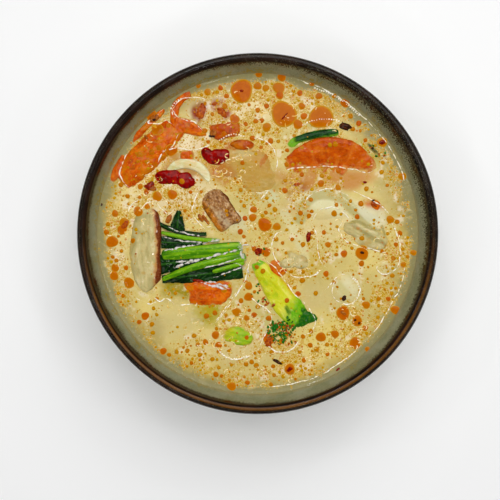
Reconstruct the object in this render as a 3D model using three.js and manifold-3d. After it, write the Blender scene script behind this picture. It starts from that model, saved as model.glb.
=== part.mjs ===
// A round stoneware bowl, full of chicken coconut soup.
// Millimetres, +Z up. The origin is the middle of the foot ring's underside.
import * as THREE from "three";
import { mergeVertices } from "three/addons/utils/BufferGeometryUtils.js";
import Module from "manifold-3d";

const wasm = await Module();
wasm.setup();

// Driving dimensions of the bowl
const rimDiameter = 180;
const bowlHeight = 74;
const lipRadius = 2.35;
const footDiameter = 80;
const footRingWidth = 6;
const footRecess = 3;
const footHeight = 6;
const footEdge = 0.6;
const floorTop = 9.5;
const floorRadius = 30;
const outerCurve = 1.9;
const innerCurve = 2.1;
const bowlSides = 48;
const wallSteps = 8;
const lipSteps = 4;

// Driving dimensions of the soup
const soupLevel = 62;
const meniscusRise = 0.8;
const meniscusWidth = 2.5;
const gap = 0.3;
const wallClearance = 0.8;

// Heights worked out from them
const lipCentreRadius = rimDiameter / 2 - lipRadius;
const lipCentreHeight = bowlHeight - lipRadius;
const lipInnerRadius = lipCentreRadius - lipRadius;

const materials = {
  glaze: { color: 0x8b8963, roughness: 0.3 },
  soup: { color: 0xd8c592, roughness: 0.25 },
  chicken: { color: 0xd3c9a0, roughness: 0.5 },
  browned: { color: 0xa9794f, roughness: 0.45 },
  carrot: { color: 0xd05c12, roughness: 0.4 },
  stem: { color: 0x74a51c, roughness: 0.4 },
  leaf: { color: 0x1c471a, roughness: 0.45 },
  zucchini: { color: 0xb9c62a, roughness: 0.45 },
  rind: { color: 0x2c6424, roughness: 0.4 },
  chilli: { color: 0x9c140c, roughness: 0.3 },
  onion: { color: 0xd9d2a6, roughness: 0.4 },
};

function makeMaterial(kind) {
  return new THREE.MeshStandardMaterial({ ...materials[kind], metalness: 0 });
}

// Solids from closed geometry, and back again

// Corners nearer than this are one, and a length under tiny counts as none
const weldDistance = 1e-4;
const tiny = 1e-6;

function toSolid(geometry) {
  const bare = geometry.clone();
  bare.deleteAttribute("normal");
  bare.deleteAttribute("uv");
  const merged = mergeVertices(bare, weldDistance);
  return new wasm.Manifold(
    new wasm.Mesh({
      numProp: 3,
      vertProperties: merged.getAttribute("position").array,
      triVerts: new Uint32Array(merged.index.array),
    }),
  );
}

function toGeometry(solid) {
  const made = solid.getMesh();
  const position = new Float32Array(made.numVert * 3);
  for (let i = 0; i < made.numVert; i += 1) {
    const start = i * made.numProp;
    position.set(made.vertProperties.subarray(start, start + 3), i * 3);
  }
  const geometry = new THREE.BufferGeometry();
  geometry.setAttribute("position", new THREE.BufferAttribute(position, 3));
  geometry.setIndex(new THREE.BufferAttribute(made.triVerts, 1));
  geometry.computeVertexNormals();
  return geometry;
}

function join(solids) {
  return solids.reduce((whole, solid) => whole.add(solid));
}

// A cut leaves crumbs and slivers. Only the largest body is kept, and triangles are merged
// where that moves its surface by less than this.
const formSlack = 0.04;

function largestBody(solid) {
  const bodies = solid.decompose();
  const largest = bodies.reduce((a, b) => (a.volume() >= b.volume() ? a : b));
  return largest.simplify(formSlack);
}

// The bowl: one turned profile, from the foot's recess round the lip to the floor inside

// The wall's inside, from the floor up to the lip
const wallInside = Array.from({ length: wallSteps + 1 }, (_, i) => {
  const share = i / wallSteps;
  const radius = floorRadius + (lipInnerRadius - floorRadius) * share;
  return new THREE.Vector2(radius, floorTop + (lipCentreHeight - floorTop) * share ** innerCurve);
});

function innerRadiusAt(height) {
  const above = wallInside.findIndex((point) => point.y > height);
  if (above === 0) {
    return floorRadius;
  }
  if (above < 0) {
    return lipInnerRadius;
  }
  const [low, high] = [wallInside[above - 1], wallInside[above]];
  return low.x + ((high.x - low.x) * (height - low.y)) / (high.y - low.y);
}

function bowlProfile() {
  const footOuter = footDiameter / 2;
  const footInner = footOuter - footRingWidth;
  const points = [
    new THREE.Vector2(0, footRecess),
    new THREE.Vector2(footInner - footEdge, footRecess),
    new THREE.Vector2(footInner, footRecess - footEdge),
    new THREE.Vector2(footInner, footEdge),
    new THREE.Vector2(footInner + footEdge, 0),
    new THREE.Vector2(footOuter - footEdge, 0),
    new THREE.Vector2(footOuter, footEdge),
  ];
  for (let i = 0; i <= wallSteps; i += 1) {
    const share = i / wallSteps;
    const radius = footOuter + (rimDiameter / 2 - footOuter) * share;
    const height = footHeight + (lipCentreHeight - footHeight) * share ** outerCurve;
    points.push(new THREE.Vector2(radius, height));
  }
  for (let i = 1; i <= lipSteps; i += 1) {
    const angle = (Math.PI * i) / lipSteps;
    const radius = lipCentreRadius + lipRadius * Math.cos(angle);
    points.push(new THREE.Vector2(radius, lipCentreHeight + lipRadius * Math.sin(angle)));
  }
  points.push(...wallInside.slice(0, -1).reverse());
  points.push(new THREE.Vector2(0, floorTop));
  return points;
}

function turnedGeometry(profile) {
  return new THREE.LatheGeometry(profile, bowlSides).rotateX(Math.PI / 2);
}

// Pieces of food. Each is placed in the soup's frame, whose height 0 is the soup's surface.
// size: length, width and thickness. rise: how far the top stands above the surface.
// turn: degrees about +Z. tilt: degrees about its own length. curve: radius that its length
// bends round, positive to its left. plan and side: how square its outline and section are.

// Sides and rings of a lump
const roundDetail = [14, 4];
const smallDetail = [10, 4];
const moundDetail = [10, 4];
const flakeDetail = [8, 4];
const dropDetail = [10, 2];
const speckDetail = [6, 2];
const longDetail = [6, 8];

// Steps along and across a leaf
const leafDetail = [8, 2];

// How fast a leaf's and a lump's surface waves along and across
const leafWaves = [6, 2.5];
const lumpWaves = [5, 4];

function unitSphere([around, rings]) {
  const sphere = new THREE.SphereGeometry(1, around, rings);
  sphere.deleteAttribute("normal");
  sphere.deleteAttribute("uv");
  return mergeVertices(sphere, weldDistance);
}

function signedPower(value, exponent) {
  return Math.sign(value) * Math.abs(value) ** exponent;
}

// Bends the length round a circle of the given radius, in plan.
function bend(point, radius) {
  if (!radius) {
    return;
  }
  const angle = point.x / radius;
  const reach = radius - point.y;
  point.x = reach * Math.sin(angle);
  point.y = radius - reach * Math.cos(angle);
}

// Turns, tilts and places a point, and keeps it clear of the bowl's wall.
function place(point, shape, thick, grow) {
  const { at, rise, turn = 0, tilt = 0 } = shape;
  const toRadians = THREE.MathUtils.degToRad;
  point.applyEuler(new THREE.Euler(toRadians(tilt), 0, toRadians(turn), "ZYX"));
  point.add(new THREE.Vector3(at[0], at[1], rise - thick / 2));
  const limit = innerRadiusAt(soupLevel + point.z) - wallClearance + grow;
  const radius = Math.hypot(point.x, point.y);
  if (radius > limit) {
    point.x *= limit / radius;
    point.y *= limit / radius;
  }
}

// A point of the unit sphere, as shares of a lump's half length, half width and half height.
// The sphere's poles are the lump's top and bottom.
function lumpShares({ x, y, z }, plan, side) {
  const level = Math.sqrt(Math.max(1 - y * y, 0));
  const ring = level ** (2 / side);
  const cos = level > tiny ? x / level : 0;
  const sin = level > tiny ? -z / level : 0;
  return [
    ring * signedPower(cos, 2 / plan),
    ring * signedPower(sin, 2 / plan),
    signedPower(y, 2 / side),
  ];
}

// The same for a long piece, such as a stem, whose ends are the poles and whose rings are even.
function longShares({ x, y, z }, plan, side) {
  const along = (2 * Math.asin(Math.min(Math.max(y, -1), 1))) / Math.PI;
  const ring = (1 - Math.abs(along) ** plan) ** (1 / plan);
  const level = Math.hypot(x, z);
  const cos = level > tiny ? z / level : 0;
  const sin = level > tiny ? x / level : 0;
  return [along, ring * signedPower(cos, 2 / side), ring * signedPower(sin, 2 / side)];
}

// A lump is a squared ellipsoid that can be bent, arched and uneven. taper: how much wider it
// is at its far end. keystone: how much longer it is on its left side.
function lumpGeometry(shape, grow = 0) {
  const { size, plan = 2.4, side = 2.6, taper = 0, keystone = 0 } = shape;
  const { curve = 0, arch = 0, wave = 0 } = shape;
  const half = size.map((length) => length / 2 + grow);
  const shares = shape.long ? longShares : lumpShares;
  const geometry = unitSphere(shape.detail ?? (shape.long ? longDetail : roundDetail));
  const position = geometry.getAttribute("position");
  const point = new THREE.Vector3();
  for (let i = 0; i < position.count; i += 1) {
    point.fromBufferAttribute(position, i);
    const [along, across, up] = shares(point, plan, side);
    const alongWave = along * lumpWaves[0] + shape.at[0];
    const acrossWave = across * lumpWaves[1] + shape.at[1];
    const ripple = Math.sin(alongWave) * Math.cos(acrossWave);
    const swell = 1 + (2 * wave * ripple) / size[1];
    point.set(
      along * half[0] * swell * (1 + keystone * across),
      across * half[1] * (1 + taper * along) * swell,
      up * half[2] - arch * along * along,
    );
    bend(point, curve);
    place(point, shape, size[2], grow);
    position.setXYZ(i, point.x, point.y, point.z);
  }
  return geometry;
}

// A sheet is a thin wavy strip of leaf, its two faces split into triangles alike.
// ends: its width at each end as a share of the full width. bulge: what the middle adds.
function sheetGeometry(shape, grow = 0) {
  const { size, ends, bulge, curve = 0, ripple = 0.35 } = shape;
  const [steps, rows] = leafDetail;
  const [length, width, thick] = size;
  const points = [];
  for (const face of [1, -1]) {
    for (let i = 0; i <= steps; i += 1) {
      for (let j = 0; j <= rows; j += 1) {
        const along = (2 * i) / steps - 1;
        const across = (2 * j) / rows - 1;
        const share = ends[0] + ((ends[1] - ends[0]) * i) / steps;
        const full = share + bulge * Math.sin((Math.PI * i) / steps);
        const alongWave = along * leafWaves[0] + shape.at[0];
        const rippled = ripple * Math.sin(alongWave) * Math.cos(across * leafWaves[1]);
        const point = new THREE.Vector3(
          along * (length / 2 + grow),
          across * ((width / 2) * full + grow),
          rippled + face * (thick / 2 + grow),
        );
        bend(point, curve);
        place(point, shape, thick, grow);
        points.push(...point.toArray());
      }
    }
  }
  const index = [];
  const row = rows + 1;
  const lower = (steps + 1) * row;
  for (let i = 0; i < steps; i += 1) {
    for (let j = 0; j < rows; j += 1) {
      const a = i * row + j;
      const b = a + row;
      index.push(a, b, b + 1, a, b + 1, a + 1);
      index.push(lower + a, lower + b + 1, lower + b, lower + a, lower + a + 1, lower + b + 1);
    }
  }
  const rim = [];
  for (let i = 0; i < steps; i += 1) {
    rim.push(i * row);
  }
  for (let j = 0; j < rows; j += 1) {
    rim.push(steps * row + j);
  }
  for (let i = steps; i > 0; i -= 1) {
    rim.push(i * row + rows);
  }
  for (let j = rows; j > 0; j -= 1) {
    rim.push(j);
  }
  rim.forEach((a, i) => {
    const b = rim[(i + 1) % rim.length];
    index.push(a, lower + a, lower + b, a, lower + b, b);
  });
  const geometry = new THREE.BufferGeometry();
  geometry.setAttribute("position", new THREE.Float32BufferAttribute(points, 3));
  geometry.setIndex(index);
  return geometry;
}

function pieceSolid(piece, grow = 0) {
  const shapes = piece.sheets ?? piece.lumps;
  const make = piece.sheets ? sheetGeometry : lumpGeometry;
  return join(shapes.map((shape) => toSolid(make(shape, grow))));
}

// The toppings, from the one that keeps its whole shape to the ones that make room for it

const greens = [
  {
    name: "stem_main",
    kind: "stem",
    lumps: [
      {
        long: true,
        at: [-28, -9.1],
        size: [42, 6.7, 3.4],
        rise: 3,
        turn: 4.5,
        plan: 7,
        taper: 0.2,
        arch: 0.8,
      },
    ],
  },
  {
    name: "stem_low",
    kind: "stem",
    lumps: [
      {
        long: true,
        at: [-27.5, -15.5],
        size: [44, 3.8, 2.8],
        rise: 2.8,
        turn: 15,
        plan: 6,
        taper: 0.3,
        curve: -110,
      },
    ],
  },
  {
    name: "stem_short",
    kind: "stem",
    lumps: [{ long: true, at: [-14.7, -17], size: [17, 2.3, 1.6], rise: 2.7, turn: 16, plan: 5 }],
  },
  {
    name: "stem_top",
    kind: "stem",
    lumps: [
      { long: true, at: [-34.2, -2.3], size: [31, 2.2, 1.6], rise: 2.4, turn: -8, plan: 5, curve: 100 },
    ],
  },
  {
    name: "leaf_band",
    kind: "leaf",
    sheets: [
      { at: [-38.8, 0.9], size: [26, 2.6, 1], rise: 1.9, turn: -13, curve: 43, ends: [0.8, 0.7], bulge: 0.2 },
    ],
  },
  {
    name: "leaf_upper",
    kind: "leaf",
    sheets: [{ at: [-38.3, -4.6], size: [21, 6.4, 0.9], rise: 1.3, turn: -2, ends: [1, 0.25], bulge: 0.1 }],
  },
  {
    name: "leaf_middle",
    kind: "leaf",
    sheets: [{ at: [-33.4, -13.4], size: [33, 9.6, 0.9], rise: 1.2, turn: 8, ends: [1, 0.6], bulge: 0.1 }],
  },
  {
    name: "leaf_lower",
    kind: "leaf",
    sheets: [
      {
        at: [-28, -20.6],
        size: [41, 10.5, 0.9],
        rise: 0.9,
        turn: 7,
        ends: [0.35, 0.85],
        bulge: 0.15,
        ripple: 0.2,
      },
    ],
  },
  {
    name: "leaf_tip",
    kind: "leaf",
    sheets: [{ at: [-40.3, 6.8], size: [10, 8, 0.9], rise: 1.5, turn: 85, ends: [1, 0.25], bulge: 0.1 }],
  },
];

const chicken = [
  {
    name: "chicken_slice",
    kind: "chicken",
    lumps: [
      {
        at: [-57, -7.6],
        size: [42, 16, 7],
        rise: 2.6,
        turn: 90,
        tilt: -10,
        plan: 2.8,
        side: 4,
        curve: -88,
        wave: 0.4,
        detail: [16, 6],
      },
    ],
  },
  {
    name: "chicken_brown",
    kind: "browned",
    lumps: [
      {
        at: [-19, 12.2],
        size: [21, 13.6, 7],
        rise: 2.4,
        turn: -54,
        plan: 5,
        side: 4,
        wave: 0.3,
        keystone: 0.06,
      },
    ],
  },
  {
    name: "chicken_right",
    kind: "chicken",
    lumps: [
      { at: [50, 1.6], size: [14, 7.4, 4.6], rise: 1.8, turn: -25 },
      { at: [57.5, -2.7], size: [17, 10, 5], rise: 1.6, turn: -14 },
      { at: [55.4, 1.2], size: [14, 3.4, 4], rise: 2.2, turn: -16, detail: smallDetail },
    ],
  },
  {
    name: "chicken_small",
    kind: "chicken",
    lumps: [
      { at: [15.2, -15.1], size: [8.5, 5.5, 4], rise: 1.6, turn: 8, detail: smallDetail },
      { at: [22, -14.4], size: [7.6, 6.6, 4], rise: 1.7, detail: smallDetail },
      { at: [18.4, -11.4], size: [8, 3.6, 4], rise: 1.1, turn: -24, detail: smallDetail },
    ],
  },
];

const chillies = [
  {
    name: "chilli_left",
    kind: "chilli",
    lumps: [
      { at: [-45.2, 28.8], size: [14, 7.6, 4.6], rise: 1.6, turn: 2, wave: 0.3 },
      { at: [-37, 27.4], size: [10.5, 8, 4.4], rise: 1.7, turn: -22, wave: 0.3, detail: smallDetail },
    ],
  },
  {
    name: "chilli_middle",
    kind: "chilli",
    lumps: [
      { at: [-25, 39.9], size: [9.4, 5.8, 4], rise: 1.6, turn: -55, detail: smallDetail },
      { at: [-18.8, 39.5], size: [11, 7.6, 4.2], rise: 1.8, turn: -4, detail: smallDetail },
      { at: [-21.5, 37.4], size: [9, 5, 4], rise: 1.4, turn: -8, detail: smallDetail },
    ],
  },
];

const carrots = [
  {
    name: "carrot_slice",
    kind: "carrot",
    lumps: [
      { at: [36.5, 25.5], size: [54, 48, 6.5], rise: -1.24, tilt: 9, plan: 2, side: 8, detail: [24, 6] },
    ],
  },
  {
    name: "carrot_chunk",
    kind: "carrot",
    lumps: [{ at: [-54.6, 41], size: [40, 16, 9], rise: 2.3, turn: 46, plan: 4, side: 3, wave: 0.5 }],
  },
  {
    name: "carrot_curl",
    kind: "carrot",
    lumps: [
      { long: true, at: [-42.1, 61.9], size: [27, 4.6, 2.8], rise: 0.9, turn: -100, plan: 6, curve: 12.3 },
    ],
  },
  {
    name: "carrot_flake",
    kind: "carrot",
    lumps: [
      { at: [-35.6, 54.6], size: [20, 7.4, 2.4], rise: 0.8, turn: -25, plan: 1.8, detail: smallDetail },
    ],
  },
  {
    name: "carrot_middle",
    kind: "carrot",
    lumps: [{ at: [-16.2, 52.2], size: [17, 9, 4], rise: 1.1, turn: 8, plan: 2.8, detail: smallDetail }],
  },
  {
    name: "carrot_lens",
    kind: "carrot",
    lumps: [{ at: [-7.6, 45.2], size: [12.6, 5, 3], rise: 1.6, turn: -2, plan: 1.9, detail: smallDetail }],
  },
  {
    name: "carrot_cube",
    kind: "carrot",
    lumps: [{ at: [-35.7, 40], size: [7.4, 5.7, 5], rise: 1, plan: 3.5, side: 3.5, detail: smallDetail }],
  },
  {
    name: "carrot_sliver_high",
    kind: "carrot",
    lumps: [
      { long: true, at: [-55.9, 55.2], size: [24, 3.4, 3.2], rise: 1.2, turn: 45, plan: 3, curve: -79 },
    ],
  },
  {
    name: "carrot_sliver_low",
    kind: "carrot",
    lumps: [{ long: true, at: [-71, 33], size: [17, 4.6, 4], rise: 1.1, turn: 68, taper: -0.25 }],
  },
  {
    name: "carrot_small",
    kind: "carrot",
    lumps: [{ at: [10.3, -17.3], size: [10, 7.5, 4], rise: 0.9, turn: -35, detail: smallDetail }],
  },
  {
    name: "carrot_end",
    kind: "carrot",
    lumps: [{ at: [60, 15], size: [5.8, 4.6, 3], rise: 1, turn: -30, detail: smallDetail }],
  },
  {
    name: "carrot_low",
    kind: "carrot",
    lumps: [{ at: [-25, -30], size: [23.5, 12.8, 5], rise: 1.3, plan: 5, side: 3, keystone: 0.2 }],
  },
];

const vegetables = [
  {
    name: "zucchini_wedge",
    kind: "zucchini",
    lumps: [
      { at: [10.8, -30.2], size: [42, 13, 6], rise: 1.7, turn: -52, taper: 0.28, plan: 3, side: 3 },
      { at: [25.2, -42.2], size: [11, 6.4, 5], rise: 1.3, turn: -12, plan: 1.7, detail: smallDetail },
    ],
  },
  {
    name: "zucchini_bit",
    kind: "zucchini",
    lumps: [
      { at: [-11.2, -51.1], size: [14, 9, 5], rise: 1.2, turn: 5, detail: smallDetail },
      { at: [-8.1, -52.7], size: [12, 9, 4.5], rise: 1.5, turn: -10, detail: smallDetail },
    ],
  },
  {
    name: "zucchini_rind",
    kind: "rind",
    lumps: [
      { long: true, at: [29.3, 50.2], size: [24, 4.4, 6], rise: 1.6, turn: 11, plan: 5, curve: -70 },
      { at: [18.6, 46.6], size: [8, 5, 4], rise: 0.8, turn: 38, detail: smallDetail },
    ],
  },
  {
    name: "zucchini_end",
    kind: "rind",
    lumps: [{ long: true, at: [59.3, 42.5], size: [14, 2.6, 4], rise: 0.7, turn: -48, curve: -30 }],
  },
  {
    name: "onion_crescent",
    kind: "onion",
    lumps: [
      { long: true, at: [-33.5, 35.4], size: [27, 5.4, 2.6], rise: 1.3, turn: -14, plan: 2.2, curve: -12 },
    ],
  },
  {
    name: "chicken_gold",
    kind: "chicken",
    lumps: [
      { at: [-5.5, 36], size: [35, 20, 8], rise: 1.3, turn: -10, plan: 2.6, wave: 0.8 },
      { at: [0.5, 25.5], size: [22, 14, 6], rise: 0.6, turn: -20, wave: 0.5, detail: smallDetail },
    ],
  },
];

const toppings = [...greens, ...chicken, ...chillies, ...carrots, ...vegetables];

// What lies under the surface and lifts it: broad low mounds of soup
const mounds = [
  { at: [33.4, 14], size: [30, 14], rise: 1.1, turn: -8 },
  { at: [55.4, 11.9], size: [12, 9], rise: 0.9, turn: -30 },
  { at: [45.2, -28.1], size: [16, 17], rise: 1.1 },
  { at: [66.7, -16.3], size: [11, 8], rise: 0.8, turn: 20 },
  { at: [22, -8], size: [30, 26], rise: 0.7 },
  { at: [-26.5, -39], size: [20, 13], rise: 0.9, turn: 20 },
  { at: [-42, -31], size: [18, 9], rise: 0.8, turn: 10 },
  { at: [-24, 61], size: [24, 14], rise: 0.8 },
];

// Chilli flakes, seeds and herb bits that lie on the surface
const flakes = [
  { at: [44.6, 54.9], size: [6.5, 3.4, 2], rise: 1, turn: -15 },
  { at: [26, -1.7], size: [5, 2.6, 2], rise: 1.4, turn: 85 },
  { at: [10.1, -65.2], size: [5.5, 1.6, 1.6], rise: 0.7, turn: -25 },
  { at: [-54.9, 24.7], size: [5.5, 4.5, 2], rise: 0.8, turn: 30 },
  { at: [-45.2, 7.6], size: [6, 3, 2], rise: 0.9, turn: 60 },
  { at: [0.4, -8.9], size: [4.5, 4, 2], rise: 0.9 },
  { at: [-28.8, 62], size: [6.4, 3.4, 2], rise: 1, turn: 75 },
  { at: [9, -47.6], size: [6, 4, 2], rise: 0.9, turn: 40 },
  { at: [12.5, -51.6], size: [7, 4, 2], rise: 0.8, turn: -20 },
];

// The largest oil drops, as low cones: x, y and radius
const largeDrops = [
  [-8.1, 72.8, 5.6],
  [13.4, 61, 6.7],
  [32.4, 59.2, 5.6],
  [10.9, 74, 3],
  [20.6, 56, 2.4],
  [-11.7, 58.8, 2.2],
  [63.6, 48.6, 2.3],
  [-60.8, 11.4, 2.6],
  [-51.1, 19, 2.6],
  [-43.4, 20.1, 2.6],
  [-69.2, 3.9, 3.2],
  [-74.1, -4, 2.9],
  [-65.4, -25, 2.8],
  [3.7, 4.7, 3.6],
  [53.4, -10.8, 3],
  [43.6, -40.3, 3.4],
  [50.8, -44.4, 2.8],
  [32.4, -52.6, 2.6],
  [49.8, -55.7, 3],
  [3.4, -54.6, 2.4],
  [16.5, -69, 2.8],
  [-4.5, -34, 2.3],
  [-19, -57, 2],
  [-57, -44, 2.2],
];

const dropThickness = 0.74;
const dropRise = 0.35;

// Smaller drops: a seeded scatter, thickest towards the far side of the bowl
const smallDropCount = 6;
const smallDropRadius = [1.1, 2];
const smallDropReach = 74;
const smallDropClearance = 1.5;
const nearSideShare = 0.25;
const scatterSeed = 29;

// Numbers from 0 to 1, the same ones for the same seed
function makeRandom(seed) {
  const factor = 16807;
  const modulus = 2 ** 31 - 1;
  let state = seed;
  return () => {
    state = (state * factor) % modulus;
    return state / modulus;
  };
}

function scatterDrops(taken) {
  const random = makeRandom(scatterSeed);
  const drops = [];
  while (drops.length < smallDropCount) {
    const angle = random() * 2 * Math.PI;
    const distance = smallDropReach * Math.sqrt(random());
    const [least, most] = smallDropRadius;
    const radius = least + (most - least) * random();
    const x = distance * Math.cos(angle);
    const y = distance * Math.sin(angle);
    const wanted = nearSideShare + (1 - nearSideShare) * Math.max(y / smallDropReach, 0);
    const free = [...taken, ...drops].every(
      (other) => Math.hypot(x - other[0], y - other[1]) > radius + other[2] + smallDropClearance,
    );
    if (random() < wanted && free) {
      drops.push([x, y, radius]);
    }
  }
  return drops;
}

function dropSolid([x, y, radius], detail) {
  const size = [2 * radius, 2 * radius, dropThickness];
  return toSolid(lumpGeometry({ at: [x, y], size, rise: dropRise, plan: 2, side: 2, detail }));
}

// Circles that cover the toppings, so that the scattered drops keep off them
function coveredCircles() {
  return toppings
    .flatMap((piece) => piece.sheets ?? piece.lumps)
    .map((shape) => [shape.at[0], shape.at[1], shape.size[0] / 2]);
}

// The soup: a turned solid up to its level, with a lip where it wets the wall. The lip has one
// knee, at these shares of its width and rise.
const kneeWidth = 0.5;
const kneeRise = 0.25;

function soupProfile() {
  const edge = soupLevel + meniscusRise;
  const edgeRadius = innerRadiusAt(edge) - gap;
  const wetted = wallInside.filter((point) => point.y + gap < edge);
  return [
    new THREE.Vector2(0, floorTop + gap),
    ...wetted.map((point) => new THREE.Vector2(point.x - gap, point.y + gap)),
    new THREE.Vector2(edgeRadius, edge),
    new THREE.Vector2(edgeRadius - meniscusWidth * kneeWidth, soupLevel + meniscusRise * kneeRise),
    new THREE.Vector2(edgeRadius - meniscusWidth, soupLevel),
    new THREE.Vector2(0, soupLevel),
  ];
}

function makeSoup() {
  const body = toSolid(turnedGeometry(soupProfile()).translate(0, 0, -soupLevel));
  const mound = ({ at, size: [length, width], rise, turn }) => {
    const shape = { at, size: [length, width, 2 * rise], rise, turn, plan: 2, side: 2 };
    return toSolid(lumpGeometry({ ...shape, detail: moundDetail }));
  };
  const flake = (shape) => toSolid(lumpGeometry({ ...shape, detail: flakeDetail }));
  const small = scatterDrops([...largeDrops, ...coveredCircles()]);
  const raised = join([
    body,
    ...mounds.map(mound),
    ...flakes.map(flake),
    ...largeDrops.map((drop) => dropSolid(drop, dropDetail)),
    ...small.map((drop) => dropSolid(drop, speckDetail)),
  ]);
  const pockets = join(toppings.map((piece) => pieceSolid(piece, gap)));
  return largestBody(raised.subtract(pockets));
}

// Each topping makes room for the ones before it.
function makeToppings() {
  const grown = [];
  return toppings.map((piece) => {
    let solid = pieceSolid(piece);
    for (const neighbour of grown) {
      solid = solid.subtract(neighbour);
    }
    grown.push(pieceSolid(piece, gap));
    return largestBody(solid);
  });
}

// The scene graph: the bowl, and the contents at the soup's level

const soupBowl = new THREE.Group();
soupBowl.name = "chicken_coconut_soup";

const bowl = new THREE.Mesh(turnedGeometry(bowlProfile()), makeMaterial("glaze"));
bowl.name = "bowl";
soupBowl.add(bowl);

const contents = new THREE.Group();
contents.name = "contents";
contents.position.z = soupLevel;
soupBowl.add(contents);

const soup = new THREE.Mesh(toGeometry(makeSoup()), makeMaterial("soup"));
soup.name = "soup";
contents.add(soup);

makeToppings().forEach((solid, i) => {
  const { name, kind, sheets, lumps } = toppings[i];
  const [x, y] = (sheets ?? lumps)[0].at;
  const mesh = new THREE.Mesh(toGeometry(solid).translate(-x, -y, 0), makeMaterial(kind));
  mesh.name = name;
  mesh.position.set(x, y, 0);
  contents.add(mesh);
});

export default soupBowl;
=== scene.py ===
"""The looks of a round stoneware bowl of chicken coconut soup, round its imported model."""
import itertools
import math

import bpy
import numpy as np
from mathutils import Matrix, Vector
from mathutils.bvhtree import BVHTree
from mathutils.kdtree import KDTree


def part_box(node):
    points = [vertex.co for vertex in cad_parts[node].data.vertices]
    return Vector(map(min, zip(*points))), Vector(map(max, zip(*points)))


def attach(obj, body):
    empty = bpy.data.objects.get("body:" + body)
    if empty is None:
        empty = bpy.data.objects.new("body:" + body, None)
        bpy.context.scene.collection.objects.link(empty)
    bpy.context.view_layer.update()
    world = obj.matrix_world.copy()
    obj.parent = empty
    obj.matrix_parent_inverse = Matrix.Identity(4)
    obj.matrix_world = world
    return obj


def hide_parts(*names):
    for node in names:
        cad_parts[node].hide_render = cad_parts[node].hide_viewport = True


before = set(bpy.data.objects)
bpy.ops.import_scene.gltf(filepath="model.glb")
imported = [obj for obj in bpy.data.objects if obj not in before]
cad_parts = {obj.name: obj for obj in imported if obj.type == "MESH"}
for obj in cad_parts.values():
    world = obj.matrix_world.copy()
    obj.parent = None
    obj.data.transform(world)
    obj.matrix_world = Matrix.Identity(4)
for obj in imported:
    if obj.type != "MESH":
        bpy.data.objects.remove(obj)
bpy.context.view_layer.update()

# Lengths below are millimetres, in the frame's axes. Meshes are made in metres.
METRE = 0.001
BOWL_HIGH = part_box("bowl")[1]
RIM_RADIUS = BOWL_HIGH.x / METRE
BOWL_HEIGHT = BOWL_HIGH.z / METRE

# The bowl
LIP_RADIUS = 2.35
FOOT_RADIUS = 40
FOOT_RING_WIDTH = 6
FOOT_RECESS = 3
FOOT_HEIGHT = 6
FOOT_EDGE = 0.6
FOOT_FILLET = 1.5
FLOOR_TOP = 9.5
FLOOR_RADIUS = 30
OUTER_CURVE = 1.9
INNER_CURVE = 2.1
BOWL_SIDES = 256
RIDGE_SPACING = 1.1

# The soup
SOUP_LEVEL = 62
MENISCUS_RISE = 0.8
MENISCUS_WIDTH = 2.5
WALL_CLEARANCE = 0.8
GRID_STEPS = 300
BODY_GAP = 0.3

# The photograph: the bowl's middle, in pixels, and the scale at the soup's level
PHOTO_CENTRE = (256.8, 233.2)
MM_PER_PIXEL = 0.51
CAMERA_ABOVE_RIM = 496
CAMERA_OFFSET = (-3.8, -8.2)
CAMERA_LENS = 72

LIP_CENTRE_RADIUS = RIM_RADIUS - LIP_RADIUS
LIP_CENTRE_HEIGHT = BOWL_HEIGHT - LIP_RADIUS
LIP_INNER_RADIUS = LIP_CENTRE_RADIUS - LIP_RADIUS


def seen_at(px, py):
    """The place on the soup that the photograph shows at a pixel."""
    return (px - PHOTO_CENTRE[0]) * MM_PER_PIXEL, (PHOTO_CENTRE[1] - py) * MM_PER_PIXEL


# Numbers: noise, easing and colour


def scramble(cells, seed):
    """A fixed value from -1 to 1 for each whole-numbered cell."""
    x, y, z = (cells[:, i].astype(np.uint32) for i in range(3))
    mixed = x * np.uint32(73856093) ^ y * np.uint32(19349663) ^ z * np.uint32(83492791)
    mixed ^= np.uint32(seed * 9781 + 17)
    mixed = (mixed ^ (mixed >> np.uint32(13))) * np.uint32(1274126177)
    mixed ^= mixed >> np.uint32(16)
    return (mixed & np.uint32(0xFFFF)) / 32767.5 - 1


def noise(points, size, seed, octaves=1):
    """Smooth noise from about -1 to 1, whose lumps are size wide."""
    points = np.asarray(points, float)
    if points.shape[1] == 2:
        points = np.column_stack([points, np.zeros(len(points))])
    total = np.zeros(len(points))
    for octave in range(octaves):
        scaled = points * (2**octave / size) + 37.0 * octave
        cell = np.floor(scaled).astype(np.int64)
        share = scaled - cell
        share = share * share * (3 - 2 * share)
        layer = np.zeros(len(points))
        for corner in itertools.product((0, 1), repeat=3):
            weight = np.prod(np.where(corner, share, 1 - share), axis=1)
            layer += weight * scramble(cell + np.array(corner), seed + octave)
        total += layer / 2**octave
    return total


def ease(value, low, high):
    """0 below low, 1 above high and smooth between them."""
    share = np.clip((np.asarray(value, float) - low) / (high - low), 0, 1)
    return share * share * (3 - 2 * share)


def srgb(red, green, blue):
    """A screen colour from 0 to 255 as linear light."""
    shares = np.array([red, green, blue]) / 255
    return tuple(np.where(shares <= 0.04045, shares / 12.92, ((shares + 0.055) / 1.055) ** 2.4))


# Meshes


def vertex_normals(points, faces):
    """The normal at each point of a mesh whose faces all have the same number of corners."""
    corners = points[faces]
    across = corners[:, 2] - corners[:, 0]
    other = corners[:, 3 % faces.shape[1]] - corners[:, 1]
    if faces.shape[1] == 3:
        other = corners[:, 1] - corners[:, 0]
        across, other = other, across
    face_normals = np.cross(across, other)
    normals = np.zeros_like(points)
    for column in range(faces.shape[1]):
        np.add.at(normals, faces[:, column], face_normals)
    length = np.linalg.norm(normals, axis=1, keepdims=True)
    return normals / np.maximum(length, 1e-9)


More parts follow.
